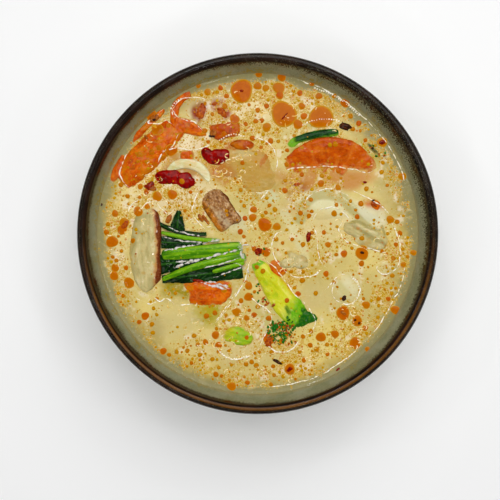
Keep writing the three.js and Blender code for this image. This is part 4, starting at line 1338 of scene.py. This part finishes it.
GREENS_LINES = {
    "main_top_right": [(196, 244), (210, 241), (222, 238)],
    "upper": [(162, 236), (174, 239), (188, 241), (206, 242)],
    "top": [(168, 226), (178, 231), (192, 234), (206, 236)],
    "low": [(203, 268), (220, 263), (240, 257)],
    "short": [(212, 277), (226, 272), (243, 266)],
    "net_a": [(236, 238), (242, 246), (240, 254), (247, 262), (240, 270)],
    "net_b": [(236, 247), (246, 244), (254, 246)],
    "net_c": [(232, 262), (240, 264), (248, 272), (244, 282)],
    "foot": [(196, 280), (208, 284), (222, 285), (230, 288)],
}
FROTH_LINES = {
    "main_top": [(164, 250), (180, 247), (198, 244)],
    "main_low": [(173, 261), (190, 260), (206, 257), (222, 253), (243, 248)],
    "low_top": [(174, 267), (188, 262), (202, 258)],
    "foam_high": [(204, 281), (212, 281), (220, 283), (228, 286)],
    "foam_low": [(208, 284), (216, 286), (226, 288)],
}
# Rows of bright beads along wet edges, painted glints: pixels
GLINT_BEAD_LINES = {
    "middle": [(219, 140), (226, 136), (234, 134), (243, 136)],
    "right": [(302, 125), (310, 121), (320, 119), (330, 119), (338, 121)],
    "low_bay": [(220, 351), (226, 356), (236, 358), (246, 355)],
    "lump_ring": [(350, 276), (356, 282), (359, 291), (355, 299)],
    "wall": [(314, 88), (330, 94), (344, 103), (358, 115)],
    "highlight_curl": [(171, 108), (175, 102), (181, 99)],
    "ring": [(304, 276), (312, 275), (319, 270)],
}
BEAD_SPACING = 1.15

# Where painted highlights curl in rings and crescents on the oil: pixel, reach in millimetres and count
HIGHLIGHT_CURLS = [
    ((228, 168), 9, 16), ((240, 162), 8, 10), ((214, 176), 6, 10), ((150, 178), 8, 8),
    ((146, 202), 11, 28), ((148, 132), 8, 8), ((160, 160), 8, 5), ((212, 340), 10, 26),
    ((182, 312), 8, 14), ((262, 226), 9, 16), ((342, 228), 5, 8), ((112, 262), 8, 16),
    ((296, 268), 7, 14), ((336, 346), 17, 34), ((262, 360), 20, 40), ((292, 196), 9, 12),
    ((388, 246), 9, 14), ((256, 96), 22, 34), ((330, 106), 14, 20), ((112, 226), 8, 14),
    ((246, 312), 8, 18), ((352, 314), 8, 14), ((262, 250), 6, 10), ((200, 222), 5, 10),
]


# Height of the waterline on the toppings, how far points may be from it, and how far the soup stays
# under the toppings that it would cover
WATERLINE = 0.15
WATERLINE_BAND = 0.25
SOUP_UNDER_FOOD = 0.35


def warping(places, size, seeds, octaves=1):
    """A sideways shift for each place that makes outlines uneven."""
    return np.column_stack([noise(places, size, seed, octaves) for seed in seeds])


def soup_warping(places):
    return warping(places, 8, (131, 141), 3)


def turned_share(points, centre, half, turn):
    """How far out each point is in an ellipse: 0 in its middle and 1 at its edge."""
    angle = math.radians(turn)
    x, y = points[:, 0] - centre[0], points[:, 1] - centre[1]
    along = x * math.cos(angle) + y * math.sin(angle)
    across = y * math.cos(angle) - x * math.sin(angle)
    return np.hypot(along / half[0], across / half[1])


def line_share(points, corners, half):
    """How far each point is from a line through pixels: 0 on it and 1 at half its width."""
    line = along_line([seen_at(*corner) for corner in corners], 1)
    return np.min([np.hypot(points[:, 0] - x, points[:, 1] - y) for x, y in line], axis=0) / half


class Surface:
    """The soup's surface round the toppings, whose points and faces it is given."""

    def __init__(self, toppings):
        points, faces = joined([(points, faces) for points, faces, _ in toppings])
        self.cover = BVHTree.FromPolygons(points.tolist(), [tuple(map(int, face)) for face in faces])
        wet = []
        for points, _, rise in toppings:
            near = points[np.abs(points[:, 2] - SOUP_LEVEL - WATERLINE) < WATERLINE_BAND]
            wet += [(x, y, rise) for x, y, _ in near]
        self.wet_rise = [rise for _, _, rise in wet]
        self.waterline = KDTree(len(wet))
        for index, (x, y, _) in enumerate(wet):
            self.waterline.insert((x, y, 0), index)
        self.waterline.balance()

    def covers(self, places):
        """The height of the topping at each place, or far below where there is none."""
        heights = np.full(len(places), -1e3)
        down = Vector((0, 0, -1))
        for index, (x, y) in enumerate(places):
            hit = self.cover.ray_cast(Vector((x, y, BOWL_HEIGHT)), down)[0]
            if hit is not None:
                heights[index] = hit.z
        return heights

    def wetting(self, places):
        """How far the soup climbs at each place beside the toppings."""
        climb = np.zeros(len(places))
        for index, (x, y) in enumerate(places):
            _, nearest, distance = self.waterline.find((x, y, 0))
            climb[index] = self.wet_rise[nearest] * math.exp(-distance / WETTING_REACH)
        return climb * (0.3 + 0.7 * ease(noise(places, 4, 83, 2), -0.3, 0.5))

    def bare(self, places):
        """The soup's own height, before the toppings press into it."""
        radius = np.hypot(*places.T)
        edge = inner_radius(SOUP_LEVEL + MENISCUS_RISE)
        height = MENISCUS_RISE * np.exp(-np.maximum(edge - radius, 0) / (MENISCUS_WIDTH * 0.45))
        warp = warping(places, 6, (81, 91), 2)
        for centre, (length, width), rise, turn in MOUNDS:
            share = turned_share(places + 1.1 * warp, centre, (length / 2, width / 2), turn)
            height = height + rise * np.clip(1 - share**3, 0, 1)
        calm = ease(edge - radius, 0, 6)
        height += calm * (0.09 * noise(places, 9, 101, 2) + 0.05 * noise(places, 3, 103, 2))
        return SOUP_LEVEL + height

    def soup(self, places):
        height = self.bare(places) + self.wetting(places)
        cover = self.covers(places)
        under = cover - SOUP_UNDER_FOOD
        held = (cover > SOUP_LEVEL + 0.1) & (under < height)
        return np.where(held, under, height)

    def top(self, places):
        """The highest of soup and topping."""
        return np.maximum(self.bare(places) + self.wetting(places) * 0.6, self.covers(places))


def disc_grid(steps):
    """Places over a unit disc, from a square grid, with its quads and its rim in order."""
    u, v = np.meshgrid(np.linspace(-1, 1, steps + 1), np.linspace(-1, 1, steps + 1), indexing="ij")
    u, v = u.ravel(), v.ravel()
    wide = np.abs(u) > np.abs(v)
    radius = np.where(wide, u, v)
    ratio = np.where(wide, v, u) / np.where(radius == 0, 1, radius)
    angle = np.where(wide, math.pi / 4 * ratio, math.pi / 2 - math.pi / 4 * ratio)
    places = np.column_stack([radius * np.cos(angle), radius * np.sin(angle)])
    row = steps + 1
    index = np.arange(row * row).reshape(row, row)
    corners = [index[:-1, :-1], index[1:, :-1], index[1:, 1:], index[:-1, 1:]]
    quads = np.stack(corners, axis=-1).reshape(-1, 4)
    rim = np.concatenate([index[:-1, 0], index[-1, :-1], index[:0:-1, -1], index[0, :0:-1]])
    return places, quads, rim


def tinted(tint, colour, amount):
    """The tint, with a screen colour mixed in by the amount at each place."""
    return tint * (1 - amount[:, None]) + np.array(srgb(*colour)) * amount[:, None]


def soup_tint(places, warp):
    """The soup's colour at each place."""
    cloud = noise(places, 14, 111, 3)[:, None]
    tint = np.array(srgb(*BASE_COLOUR)) * (1 + 0.12 * cloud)
    for pixel, half, turn, colour, strength in PATCHES:
        warped = places + min(2.6, 0.3 * min(half)) * warp
        share = turned_share(warped, seen_at(*pixel), half, turn)
        tint = tinted(tint, colour, strength * ease(share, 1.2, 0.4))
    edge = np.hypot(*places.T) + 1.0 * noise(places, 5, 115, 3)
    edge += 2.4 * np.maximum(places @ (0.7, 0.7) / 80, 0)
    for colour, low, high, strength in ((OUTER_COLOUR, 70, 76, 0.75), (EDGE_COLOUR, 74.5, 80, 1)):
        tint = tinted(tint, colour, strength * ease(edge, low, high))
    for corners, half, colour, strength in BANDS:
        share = line_share(places + 0.5 * warp, corners, half)
        tint = tinted(tint, colour, strength * ease(share, 1.2, 0.6))
    return tint


def soup_oil(places, warp):
    """How much free oil shows at each place, from 0 to 1."""
    warped = places + 2.5 * warp
    radius = np.hypot(*places.T)
    oil = BASE_OIL + EDGE_OIL * ease(radius, 64, 76)
    for pixel, reach, amount in OIL_ZONES:
        share = turned_share(warped, seen_at(*pixel), (reach, reach), 0)
        oil = np.maximum(oil, amount * ease(share, 1.15, 0.4))
    for pixel, reach in CALM_PLACES:
        share = turned_share(warped, seen_at(*pixel), (reach, reach), 0)
        oil = oil * (1 - 0.85 * ease(share, 1.1, 0.6))
    oil = oil * (1 + 1.0 * noise(places, 5, 121, 3))
    return np.clip(oil * ease(radius, 80.5, 77), 0, 1)


def make_soup(surface):
    """The soup: its surface, over a body that follows the bowl's wall down to the floor."""
    unit, quads, rim = disc_grid(GRID_STEPS)
    edge_height = SOUP_LEVEL + MENISCUS_RISE
    places = unit * (inner_radius(edge_height) + 0.1)
    top = np.column_stack([places, surface.soup(places)])
    top[rim, 2] = edge_height
    rings = [top]
    faces = [tuple(map(int, quad)) for quad in quads]
    above = rim
    start = len(top)
    angles = np.arctan2(top[rim, 1], top[rim, 0])
    highest = ((edge_height - FLOOR_TOP) / (LIP_CENTRE_HEIGHT - FLOOR_TOP)) ** 0.5
    for share in (0.93, 0.75, 0.5, 0.25, 0.0):
        radius, height = inner_wall(share * highest)
        x, y = (radius - BODY_GAP) * np.cos(angles), (radius - BODY_GAP) * np.sin(angles)
        rings.append(np.column_stack([x, y, 0 * angles + height + BODY_GAP]))
        below = start + np.arange(len(rim))
        faces += [
            (int(a), int(c), int(d), int(b))
            for a, b, c, d in zip(above, np.roll(above, -1), below, np.roll(below, -1))
        ]
        above = below
        start += len(rim)
    rings.append(np.array([[0, 0, FLOOR_TOP + BODY_GAP]]))
    faces += [(int(b), int(a), start) for a, b in zip(above, np.roll(above, -1))]
    points = np.concatenate(rings)
    flat = points[:, :2]
    warp = soup_warping(flat)
    oil = soup_oil(flat, warp)
    swirls = ease(noise(flat, 3.5, 151, 3), 0.45, 1.0)
    cream = 0.5 * swirls * ease(np.hypot(*flat.T), 77, 73) * ease(oil, 0.06, 0.25)
    stored = {"tint": soup_tint(flat, warp), "oil": oil, "cream": cream}
    make_piece("soup_surface", points, faces, SOUP, "soup", "soup", **stored)


# What floats on the soup

# Oil drops that stand out, as pixels of the photograph, with their radius in pixels
DROPS = [
    (241, 91, 11.5), (283, 114, 13), (320, 117, 12), (278, 88, 6), (279, 95, 4), (257, 86, 4),
    (265, 88, 3.5), (299, 93, 3), (301, 106, 3.5), (303, 116, 3.5), (318, 96, 3.5), (297, 124, 5),
    (266, 127, 4.5), (344, 103, 4.5), (381, 142, 5), (401, 176, 4), (234, 119, 5), (157, 196, 5),
    (172, 194, 5), (138, 211, 5), (115, 213, 3.5), (124, 222, 5), (122, 229, 5), (112, 241, 6),
    (115, 267, 4), (114, 275, 4.5), (126, 267, 2.5), (129, 282, 5.5), (145, 315, 4), (139, 321, 2.5),
    (163, 350, 3.5), (231, 385, 4.5), (215, 334, 4), (205, 341, 3), (218, 344, 3.5), (236, 311, 4.5),
    (246, 317, 3), (248, 285, 4), (248, 296, 4.5), (268, 338, 6), (253, 209, 3.5), (252, 217, 4),
    (264, 224, 7), (276, 226, 4), (265, 251, 5), (320, 183, 3.5), (337, 187, 3), (284, 190, 3),
    (333, 213, 3), (327, 244, 3), (343, 253, 3.5), (361, 252, 7), (389, 219, 4), (325, 273, 3),
    (365, 304, 4), (342, 312, 7), (356, 320, 5.5), (364, 327, 3), (334, 333, 4), (320, 336, 5),
    (354, 342, 6), (366, 348, 2.5), (289, 368, 5.5), (297, 293, 3), (394, 309, 4.5), (387, 298, 2.5),
    (402, 264, 3), (412, 252, 3), (303, 359, 2.5), (207, 92, 3.5), (220, 88, 2.6), (258, 74, 3.6),
    (281, 77, 4.5), (152, 116, 6), (157, 129, 6.5), (226, 96, 2.6), (198, 86, 2.4), (257, 110, 2.6),
    (255, 121, 2.6), (311, 84, 2.4), (333, 96, 2.4), (163, 158, 3), (171, 150, 6), (140, 186, 3),
    (147, 206, 3), (133, 240, 2.6),
]
SMALL_DROPS = 2100
SMALL_DROP_REACH = 78.5
SMALLEST_DROP = 0.3
SMALL_DROP_RANGE = 1.25
DROP_TRIES = 40000
DROPS_ON_FOOD = 0.12
DROP_LIFT = 0.04
DROP_DEPTH = 0.15

# Seeds of the random draws
DROP_SEED, CRUMB_SEED, BEAD_SEED, CURL_SEED = 17, 5, 29, 41


def disc_places(x, y, radius, seed, sides, rings):
    """Places over a slightly uneven disc: its middle, then ring by ring."""
    angles = np.arange(sides) * 2 * math.pi / sides
    wobble = 1 + 0.06 * np.sin(2 * angles + seed) + 0.05 * np.sin(3 * angles + 2.3 * seed)
    reach = radius * np.linspace(0, 1, rings + 1)[1:, None] * wobble
    across = np.column_stack([(x + reach * np.cos(angles)).ravel(), (y + reach * np.sin(angles)).ravel()])
    return np.concatenate([[[x, y]], across])


def lens_faces(sides, rings):
    """The faces of one closed lens: top, edge and underside."""
    following = np.roll(np.arange(sides), -1)
    under = 1 + rings * sides
    triangles = [(0, 1 + i, 1 + j) for i, j in enumerate(following)]
    triangles += [(under + sides, under + j, under + i) for i, j in enumerate(following)]
    quads = []
    for start in range(1, under, sides):
        outer = start + sides
        quads += [(start + i, outer + i, outer + j, start + j) for i, j in enumerate(following)]
    return np.array(triangles), np.array(quads)


def make_lenses(name, surface, drops, look, sides, rings, steepness=0.14, highest=0.24, flat=None):
    """Low round drops on whatever is under them. drops: x, y, radius, seed and tone."""
    drops = np.array(drops)
    places = np.array([disc_places(*drop[:4], sides, rings) for drop in drops])
    ground = surface.top(places.reshape(-1, 2)).reshape(places.shape[:2])
    if flat:
        level = np.ptp(ground, axis=1) < flat
        drops, places, ground = drops[level], places[level], ground[level]
    rim = np.concatenate([[0], np.repeat(np.linspace(0, 1, rings + 1)[1:], sides)])
    dome = np.minimum(highest, steepness * drops[:, 2])[:, None]
    top = np.dstack([places, ground + DROP_LIFT + dome * (1 - rim**2)])
    edge = np.dstack([places[:, -sides:], ground[:, -sides:] - DROP_DEPTH])
    middle = np.dstack([places[:, :1], ground[:, :1] - DROP_DEPTH])
    points = np.concatenate([top, edge, middle], axis=1)
    each = points.shape[1]
    starts = (np.arange(len(drops)) * each)[:, None, None]
    faces = []
    for part in lens_faces(sides, rings):
        faces += (starts + part[None]).reshape(-1, part.shape[1]).tolist()
    rims = np.tile(np.concatenate([rim, np.ones(sides + 1)]), len(drops))
    tones = np.repeat(drops[:, 4], each)
    make_piece(name, points.reshape(-1, 3), faces, look, "soup", rim=rims, tone=tones)


def scattered_drops(surface, taken, draw):
    """Small drops where the oil is thick, clear of each other and mostly off the toppings."""
    places = draw.uniform(-SMALL_DROP_REACH, SMALL_DROP_REACH, (DROP_TRIES, 2))
    radius = SMALLEST_DROP + SMALL_DROP_RANGE * draw.random(DROP_TRIES) ** 3
    chance = draw.random(DROP_TRIES)
    wanted = chance < soup_oil(places, soup_warping(places)) ** 1.2
    wanted &= np.hypot(*places.T) < SMALL_DROP_REACH - radius
    wanted &= (surface.covers(places) < SOUP_LEVEL + WATERLINE) | (draw.random(DROP_TRIES) < DROPS_ON_FOOD)
    kept = np.array(taken)[:, :3]
    small = []
    for (x, y), size in zip(places[wanted], radius[wanted]):
        if np.all((kept[:, 0] - x) ** 2 + (kept[:, 1] - y) ** 2 > (kept[:, 2] + size + 0.1) ** 2):
            kept = np.vstack([kept, (x, y, size)])
            shape_seed = draw.uniform(0, 6)
            tone = np.clip(1.2 - 0.6 * size + draw.uniform(-0.35, 0.35), 0, 1)
            small.append((x, y, size, shape_seed, tone))
        if len(small) == SMALL_DROPS:
            break
    return small


def make_drops(surface):
    """Named oil drops and a seeded scatter of small ones, thickest in the oily zones."""
    draw = np.random.default_rng(DROP_SEED)
    named = [
        (*seen_at(px, py), radius * MM_PER_PIXEL, draw.uniform(0, 6), draw.uniform(0, 0.5))
        for px, py, radius in DROPS
    ]
    make_lenses("oil_drops_large", surface, named, OIL, 36, 6)
    small = scattered_drops(surface, named, draw)
    make_lenses("oil_drops_small", surface, small, OIL, 10, 2, flat=0.7)


# Seasoning: pixel, length, width and thickness, rise above what is under it, turn, and kind
SEASONING = [
    ((344, 126), (6.5, 3.4, 2), 0.9, -15, "pepper"),
    ((307.6, 236.5), (5, 2.6, 2), 0.8, 85, "chilli"),
    ((276.5, 360.5), (5.5, 1.6, 1.6), 0.6, -25, "pepper"),
    ((149.6, 185), (5.5, 4.5, 2), 0.6, 30, "chilli"),
    ((168.5, 218.4), (6, 3, 2), 0.7, 60, "crust"),
    ((257.6, 250.6), (4.5, 4, 2), 0.8, 0, "chilli"),
    ((200.5, 111.7), (8.4, 4.6, 2), 0.5, 75, "dried"),
    ((221, 112), (8, 4, 2), 0.5, -45, "dried"),
    ((214, 104), (4, 2.4, 1.6), 0.4, 20, "dried"),
    ((213, 133), (4, 3.4, 2), 0.9, 30, "crust"),
    ((211, 136), (3.4, 1.1, 1.2), 1.1, -10, "pepper"),
    ((146, 137), (2.6, 1.1, 1), 2.3, -50, "crust"),
    ((150, 187), (7, 3, 1.6), 0.6, -15, "crust"),
    ((124, 224), (5, 4, 1.6), 0.6, 60, "dried"),
    ((154, 118), (5, 3.4, 1.6), 0.5, 30, "crust"),
    ((205, 219), (6, 1.8, 1.4), 0.7, -55, "crust"),
    ((296, 184), (5, 3, 1.6), 0.2, 20, "dried"),
    ((373, 204), (4, 2.4, 1.4), 0.3, -35, "dried"),
    ((372, 200), (1.6, 0.9, 1), 0.6, 10, "pepper"),
    ((268, 340), (7, 4, 1.6), 0.5, 70, "dried"),
    ((274.4, 326.2), (4.4, 3, 2), 0.7, 40, "herb"),
    ((280, 334), (4, 2, 2), 0.6, -20, "herb"),
    ((154, 119), (2.6, 1.8, 1.2), 0.5, 20, "pepper"),
    ((101, 204), (1.8, 1.4, 1), 0.5, 0, "pepper"),
    ((337, 368), (2.2, 1.2, 1), 0.5, 40, "chilli"),
    ((364, 182), (2.2, 1.2, 1), 0.5, 0, "chilli"),
    ((343, 297), (3, 2.4, 1.2), 0.4, 60, "pepper"),
    ((241, 91), (1.6, 1.4, 1), 0.7, 0, "chilli"),
    ((284, 116), (4.6, 0.8, 0.8), 0.6, 50, "chilli"),
    ((381, 142), (3.6, 2.2, 1.2), 0.6, 20, "chilli"),
    ((361, 252), (2.2, 1.6, 1), 0.8, 0, "pepper"),
    ((354, 319), (1.6, 1.2, 1), 0.7, 10, "pepper"),
    ((358, 322), (1.6, 1.2, 1), 0.7, 70, "pepper"),
    ((289, 368), (3.2, 2.4, 1.2), 0.7, 20, "chilli"),
    ((371, 148), (1.4, 1.2, 1), 0.6, 0, "pepper"),
    ((273, 304), (2.4, 1.4, 1), 0.7, 30, "crust"),
    ((200, 217), (4.6, 2.2, 1.4), 0.9, -60, "crust"),
    ((198, 280), (5, 1.6, 1.2), 0.5, -10, "chilli"),
    ((136, 253), (1.2, 0.9, 0.8), 0.3, 0, "crust"),
    ((148, 213), (1.2, 0.9, 0.8), 0.3, 0, "crust"),
    ((342, 312), (3, 1.6, 1), 0.7, -30, "crust"),
]
HERB_CRUMBS = [
    ((279, 331), 6.5, 110), ((286, 325), 4.5, 40), ((288, 337), 4, 14), ((262, 305), 4, 8),
    ((256, 288), 4, 6), ((258, 250), 3, 6), ((371, 148), 3, 5), ((380, 157), 3, 5),
]
KIND_COLOURS = {
    "pepper": ((26, 12, 6), (52, 26, 12), (96, 44, 14)),
    "chilli": ((88, 12, 4), (128, 22, 6), (176, 66, 14)),
    "dried": ((120, 36, 4), (168, 70, 10), (202, 116, 30)),
    "herb": ((12, 70, 10), (26, 104, 18), (86, 150, 30)),
    "crust": ((120, 56, 10), (158, 84, 20), (196, 122, 40)),
}


def crumb(surface, x, y, size, rise, turn, seed):
    """A small ragged lump that rests half sunk in what is under it."""
    ground = surface.top(np.array([[x, y]]))[0] - SOUP_LEVEL
    shape = dict(at=(x, y), size=size, rise=ground + rise, turn=turn, plan=2.2, side=2.2)
    points, faces = lump(shape, 18, 12)
    centre = points.mean(axis=0)
    ragged = 1 + 0.28 * noise(points, min(size[0], 2.4) * 0.5, seed, 2)
    return centre + (points - centre) * ragged[:, None], faces


def drawn_offset(draw, reach):
    """A random place in a disc round the origin."""
    angle, distance = draw.uniform(0, 2 * math.pi), reach * math.sqrt(draw.random())
    return distance * math.cos(angle), distance * math.sin(angle)


def make_seasoning(surface):
    """Chilli flakes, pepper, browned crumbs and herb bits, one piece for each kind."""
    draw = np.random.default_rng(CRUMB_SEED)
    crumbs = {kind: [] for kind in KIND_COLOURS}
    for index, (pixel, size, rise, turn, kind) in enumerate(SEASONING):
        crumbs[kind].append(crumb(surface, *seen_at(*pixel), size, rise, turn, index))
    for pixel, reach, count in HERB_CRUMBS:
        for index in range(count):
            place = np.add(seen_at(*pixel), drawn_offset(draw, reach))
            length = draw.uniform(0.6, 1.7)
            size = (length, length * draw.uniform(0.4, 0.9), 1)
            kind = "herb" if draw.random() < 0.68 else "dried"
            crumbs[kind].append(crumb(surface, *place, size, 0.6, draw.uniform(0, 180), index + 50))
    for kind, parts in crumbs.items():
        points, faces = joined(parts)
        look = food_look(kind, *KIND_COLOURS[kind], 1.2, relief=0.3, Roughness=0.3)
        slot = "leaf" if kind == "herb" else "chilli"
        make_piece(f"seasoning_{kind}", points, faces, look, slot, local=points, film=np.zeros(len(points)))


def along_line(corners, spacing):
    """Places at even steps on a smooth line through the corners."""
    corners = np.array(corners, float)
    ends = np.concatenate([[2 * corners[0] - corners[1]], corners, [2 * corners[-1] - corners[-2]]])
    places = []
    for a, b, c, d in zip(ends, ends[1:], ends[2:], ends[3:]):
        for t in np.linspace(0, 1, 12, endpoint=False):
            square = (2 * a - 5 * b + 4 * c - d) * t**2
            cube = (3 * b - a - 3 * c + d) * t**3
            places.append(0.5 * (2 * b + (c - a) * t + square + cube))
    places = np.array([*places, corners[-1]])
    travelled = np.concatenate([[0], np.cumsum(np.linalg.norm(np.diff(places, axis=0), axis=1))])
    even = np.linspace(0, travelled[-1], max(int(travelled[-1] / spacing), 4))
    return np.column_stack([np.interp(even, travelled, places[:, i]) for i in range(2)])


def strand(surface, path, width, seed, waver=0.35, sides=7):
    """A low rounded thread along a path, uneven, in places almost broken, and pointed at its ends."""
    path = path + waver * warping(path, 2.5, (seed, seed + 7))
    ground = surface.top(path)
    ground = np.convolve(np.pad(ground, 2, "edge"), np.full(5, 0.2), "valid")
    centre = np.column_stack([path, ground])
    share = np.linspace(0, 1, len(path))
    taper = np.minimum(np.minimum(share, 1 - share) * 8, 1)
    uneven = np.clip(0.65 + 1.2 * noise(path, 1.2, seed + 3, 2), 0.05, 1.3)
    radius = width / 2 * np.maximum(taper, 0.06) * uneven
    direction = np.gradient(path, axis=0)
    direction /= np.maximum(np.linalg.norm(direction, axis=1, keepdims=True), 1e-9)
    sideways = np.column_stack([-direction[:, 1], direction[:, 0]])
    rings = []
    for i in range(sides):
        angle = 2 * math.pi * i / sides
        ring = centre.copy()
        ring[:, :2] += sideways * (radius * math.cos(angle))[:, None]
        ring[:, 2] += 0.9 * radius * math.sin(angle) + 0.05
        rings.append(ring)
    points = np.stack(rings, axis=1).reshape(-1, 3)
    count = len(path)
    faces = []
    for i, j in itertools.product(range(count - 1), range(sides)):
        a, b = i * sides + j, i * sides + (j + 1) % sides
        faces.append((a, a + sides, b + sides, b))
    first = tuple(range(sides))
    last = tuple((count - 1) * sides + j for j in reversed(range(sides)))
    return points, [*faces, first, last]


def cream_look(name, dark, pale):
    look = Look(name)
    place = look.place()
    cloud = look.noise(place, 1.6, 3)
    colour = look.mix(look.band(cloud, 0.35, 0.65), srgb(*dark), srgb(*pale))
    normal = look.bump(cloud, 0.1)
    look.surface(Base_Color=colour, Normal=normal, Roughness=0.3, Coat_Weight=0.6, Coat_Roughness=0.04)
    return look.material


def make_cream(surface):
    """Threads of coconut cream on the soup and over the greens, partly painted highlights along wet edges,
    and rows of beads that are painted glints.
    """
    look = cream_look("cream", (246, 230, 184), (255, 252, 242))
    froth = cream_look("froth", (190, 182, 168), (230, 222, 220))
    pieces = {
        # The near-white threads are partly painted highlights along wet edges
        "cream_and_highlight_threads": (CREAM_AND_HIGHLIGHT_LINES, 0.6, 200, look),
        "cream_on_greens": (GREENS_LINES, 0.7, 300, froth),
        "froth_on_greens": (FROTH_LINES, 1.15, 400, froth),
    }
    for name, (lines, width, seed, finish) in pieces.items():
        paths = [along_line([seen_at(*corner) for corner in line], 0.3) for line in lines.values()]
        points, faces = joined([strand(surface, line, width, seed + i) for i, line in enumerate(paths)])
        make_piece(name, points, faces, finish, "soup")
    draw = np.random.default_rng(BEAD_SEED)
    beads = []
    for line in GLINT_BEAD_LINES.values():
        for x, y in along_line([seen_at(*corner) for corner in line], BEAD_SPACING):
            radius = draw.uniform(0.34, 0.56)
            beads.append((x + draw.uniform(-0.15, 0.15), y + draw.uniform(-0.15, 0.15), radius, 1, 0))
    # Painted glints: bright beads in the cream's colours
    make_lenses("glint_beads", surface, beads, look, 12, 3, steepness=0.6, highest=0.3)


def make_highlight_curls(surface):
    """Seeded rings and crescents of bright thread, painted highlights on the oil, in the places that
    shimmer with them.
    """
    draw = np.random.default_rng(CURL_SEED)
    parts = []
    for pixel, reach, count in HIGHLIGHT_CURLS:
        middle = seen_at(*pixel)
        for _ in range(count):
            centre = np.add(middle, drawn_offset(draw, reach))
            radius = draw.uniform(0.6, 2.1)
            start, sweep = draw.uniform(0, 2 * math.pi), draw.uniform(1.2, 5.2)
            width = draw.uniform(0.34, 0.56)
            if np.hypot(*centre) + radius > SMALL_DROP_REACH:
                continue
            turns = start + np.linspace(0, sweep, max(int(sweep * radius / 0.18), 6))
            flatten = draw.uniform(0.5, 1)
            highlight_curl = np.column_stack([radius * np.cos(turns), radius * flatten * np.sin(turns)])
            parts.append(strand(surface, highlight_curl + centre, width, len(parts), waver=0.2, sides=5))
    points, faces = joined(parts)
    make_piece("highlight_curls", points, faces, cream_look("curl_highlight_look", (238, 196, 70), (255, 244, 200)), "soup")


# The stage: floor, lights and camera


FLOOR_HALF = 3
FLOOR_DROP = 0.0002
WORLD_STRENGTH = 0.16
OVERHEAD_POWER = 19.5
KEY_POWER = 3.4
SPARKLE_POWER = 0.14
SPARKLE_SIZE = 0.04
SPARKLE_DISTANCE = 0.72
SPARKLE_LEANS = (24, 34) * 4


def make_floor():
    look = Look("floor")
    cloud = look.noise(look.place(), 60, 3)
    colour = look.mix(cloud, (0.95, 0.95, 0.95), (0.97, 0.97, 0.97))
    look.surface(Base_Color=colour, Roughness=0.9)
    mesh = bpy.data.meshes.new("floor")
    corners = [(x * FLOOR_HALF, y * FLOOR_HALF, 0) for x, y in ((-1, -1), (1, -1), (1, 1), (-1, 1))]
    mesh.from_pydata(corners, [], [(0, 1, 2, 3)])
    mesh.materials.append(look.material)
    floor = bpy.data.objects.new("floor", mesh)
    floor.location.z = -FLOOR_DROP
    bpy.context.scene.collection.objects.link(floor)


def make_light(name, place, size, power, glossy=True):
    light = bpy.data.lights.new(name, "AREA")
    light.shape = "DISK"
    light.size = size
    light.energy = power
    lamp = bpy.data.objects.new(name, light)
    lamp.location = place
    target = Vector((0, 0, SOUP_LEVEL * METRE))
    lamp.rotation_euler = (target - Vector(place)).to_track_quat("-Z", "Y").to_euler()
    lamp.visible_glossy = glossy
    bpy.context.scene.collection.objects.link(lamp)


def make_lights():
    """Soft light from above and from the far side, and small lights that the wet edges catch."""
    world = bpy.data.worlds.new("studio")
    world.use_nodes = True
    world.node_tree.nodes["Background"].inputs["Color"].default_value = (1, 1, 1, 1)
    world.node_tree.nodes["Background"].inputs["Strength"].default_value = WORLD_STRENGTH
    bpy.context.scene.world = world
    make_light("overhead", (0, 0, 2), 2.4, OVERHEAD_POWER, glossy=False)
    make_light("key", (0.1, 0.42, 0.82), 0.8, KEY_POWER)
    for index, lean in enumerate(SPARKLE_LEANS):
        angle = math.radians(45 * index + 20)
        away = SPARKLE_DISTANCE * math.sin(math.radians(lean))
        up = SPARKLE_DISTANCE * math.cos(math.radians(lean)) + SOUP_LEVEL * METRE
        place = (away * math.cos(angle), away * math.sin(angle), up)
        make_light(f"sparkle_{index}", place, SPARKLE_SIZE, SPARKLE_POWER)


def make_camera():
    camera = bpy.data.objects.new("camera", bpy.data.cameras.new("camera"))
    camera.data.lens = CAMERA_LENS
    camera.data.sensor_width = 36
    camera.location = (
        CAMERA_OFFSET[0] * METRE, CAMERA_OFFSET[1] * METRE, (BOWL_HEIGHT + CAMERA_ABOVE_RIM) * METRE
    )
    bpy.context.scene.collection.objects.link(camera)
    bpy.context.scene.camera = camera


bpy.context.scene.view_settings.view_transform = "Standard"
make_bowl()
wetted = [make_topping(name, 10 + 5 * index) for index, name in enumerate(PIECES)]
wetted += [make_leaf(name) for name in LEAVES]
soup_surface = Surface(wetted)
make_soup(soup_surface)
make_drops(soup_surface)
make_seasoning(soup_surface)
make_cream(soup_surface)
make_highlight_curls(soup_surface)
make_floor()
make_lights()
make_camera()
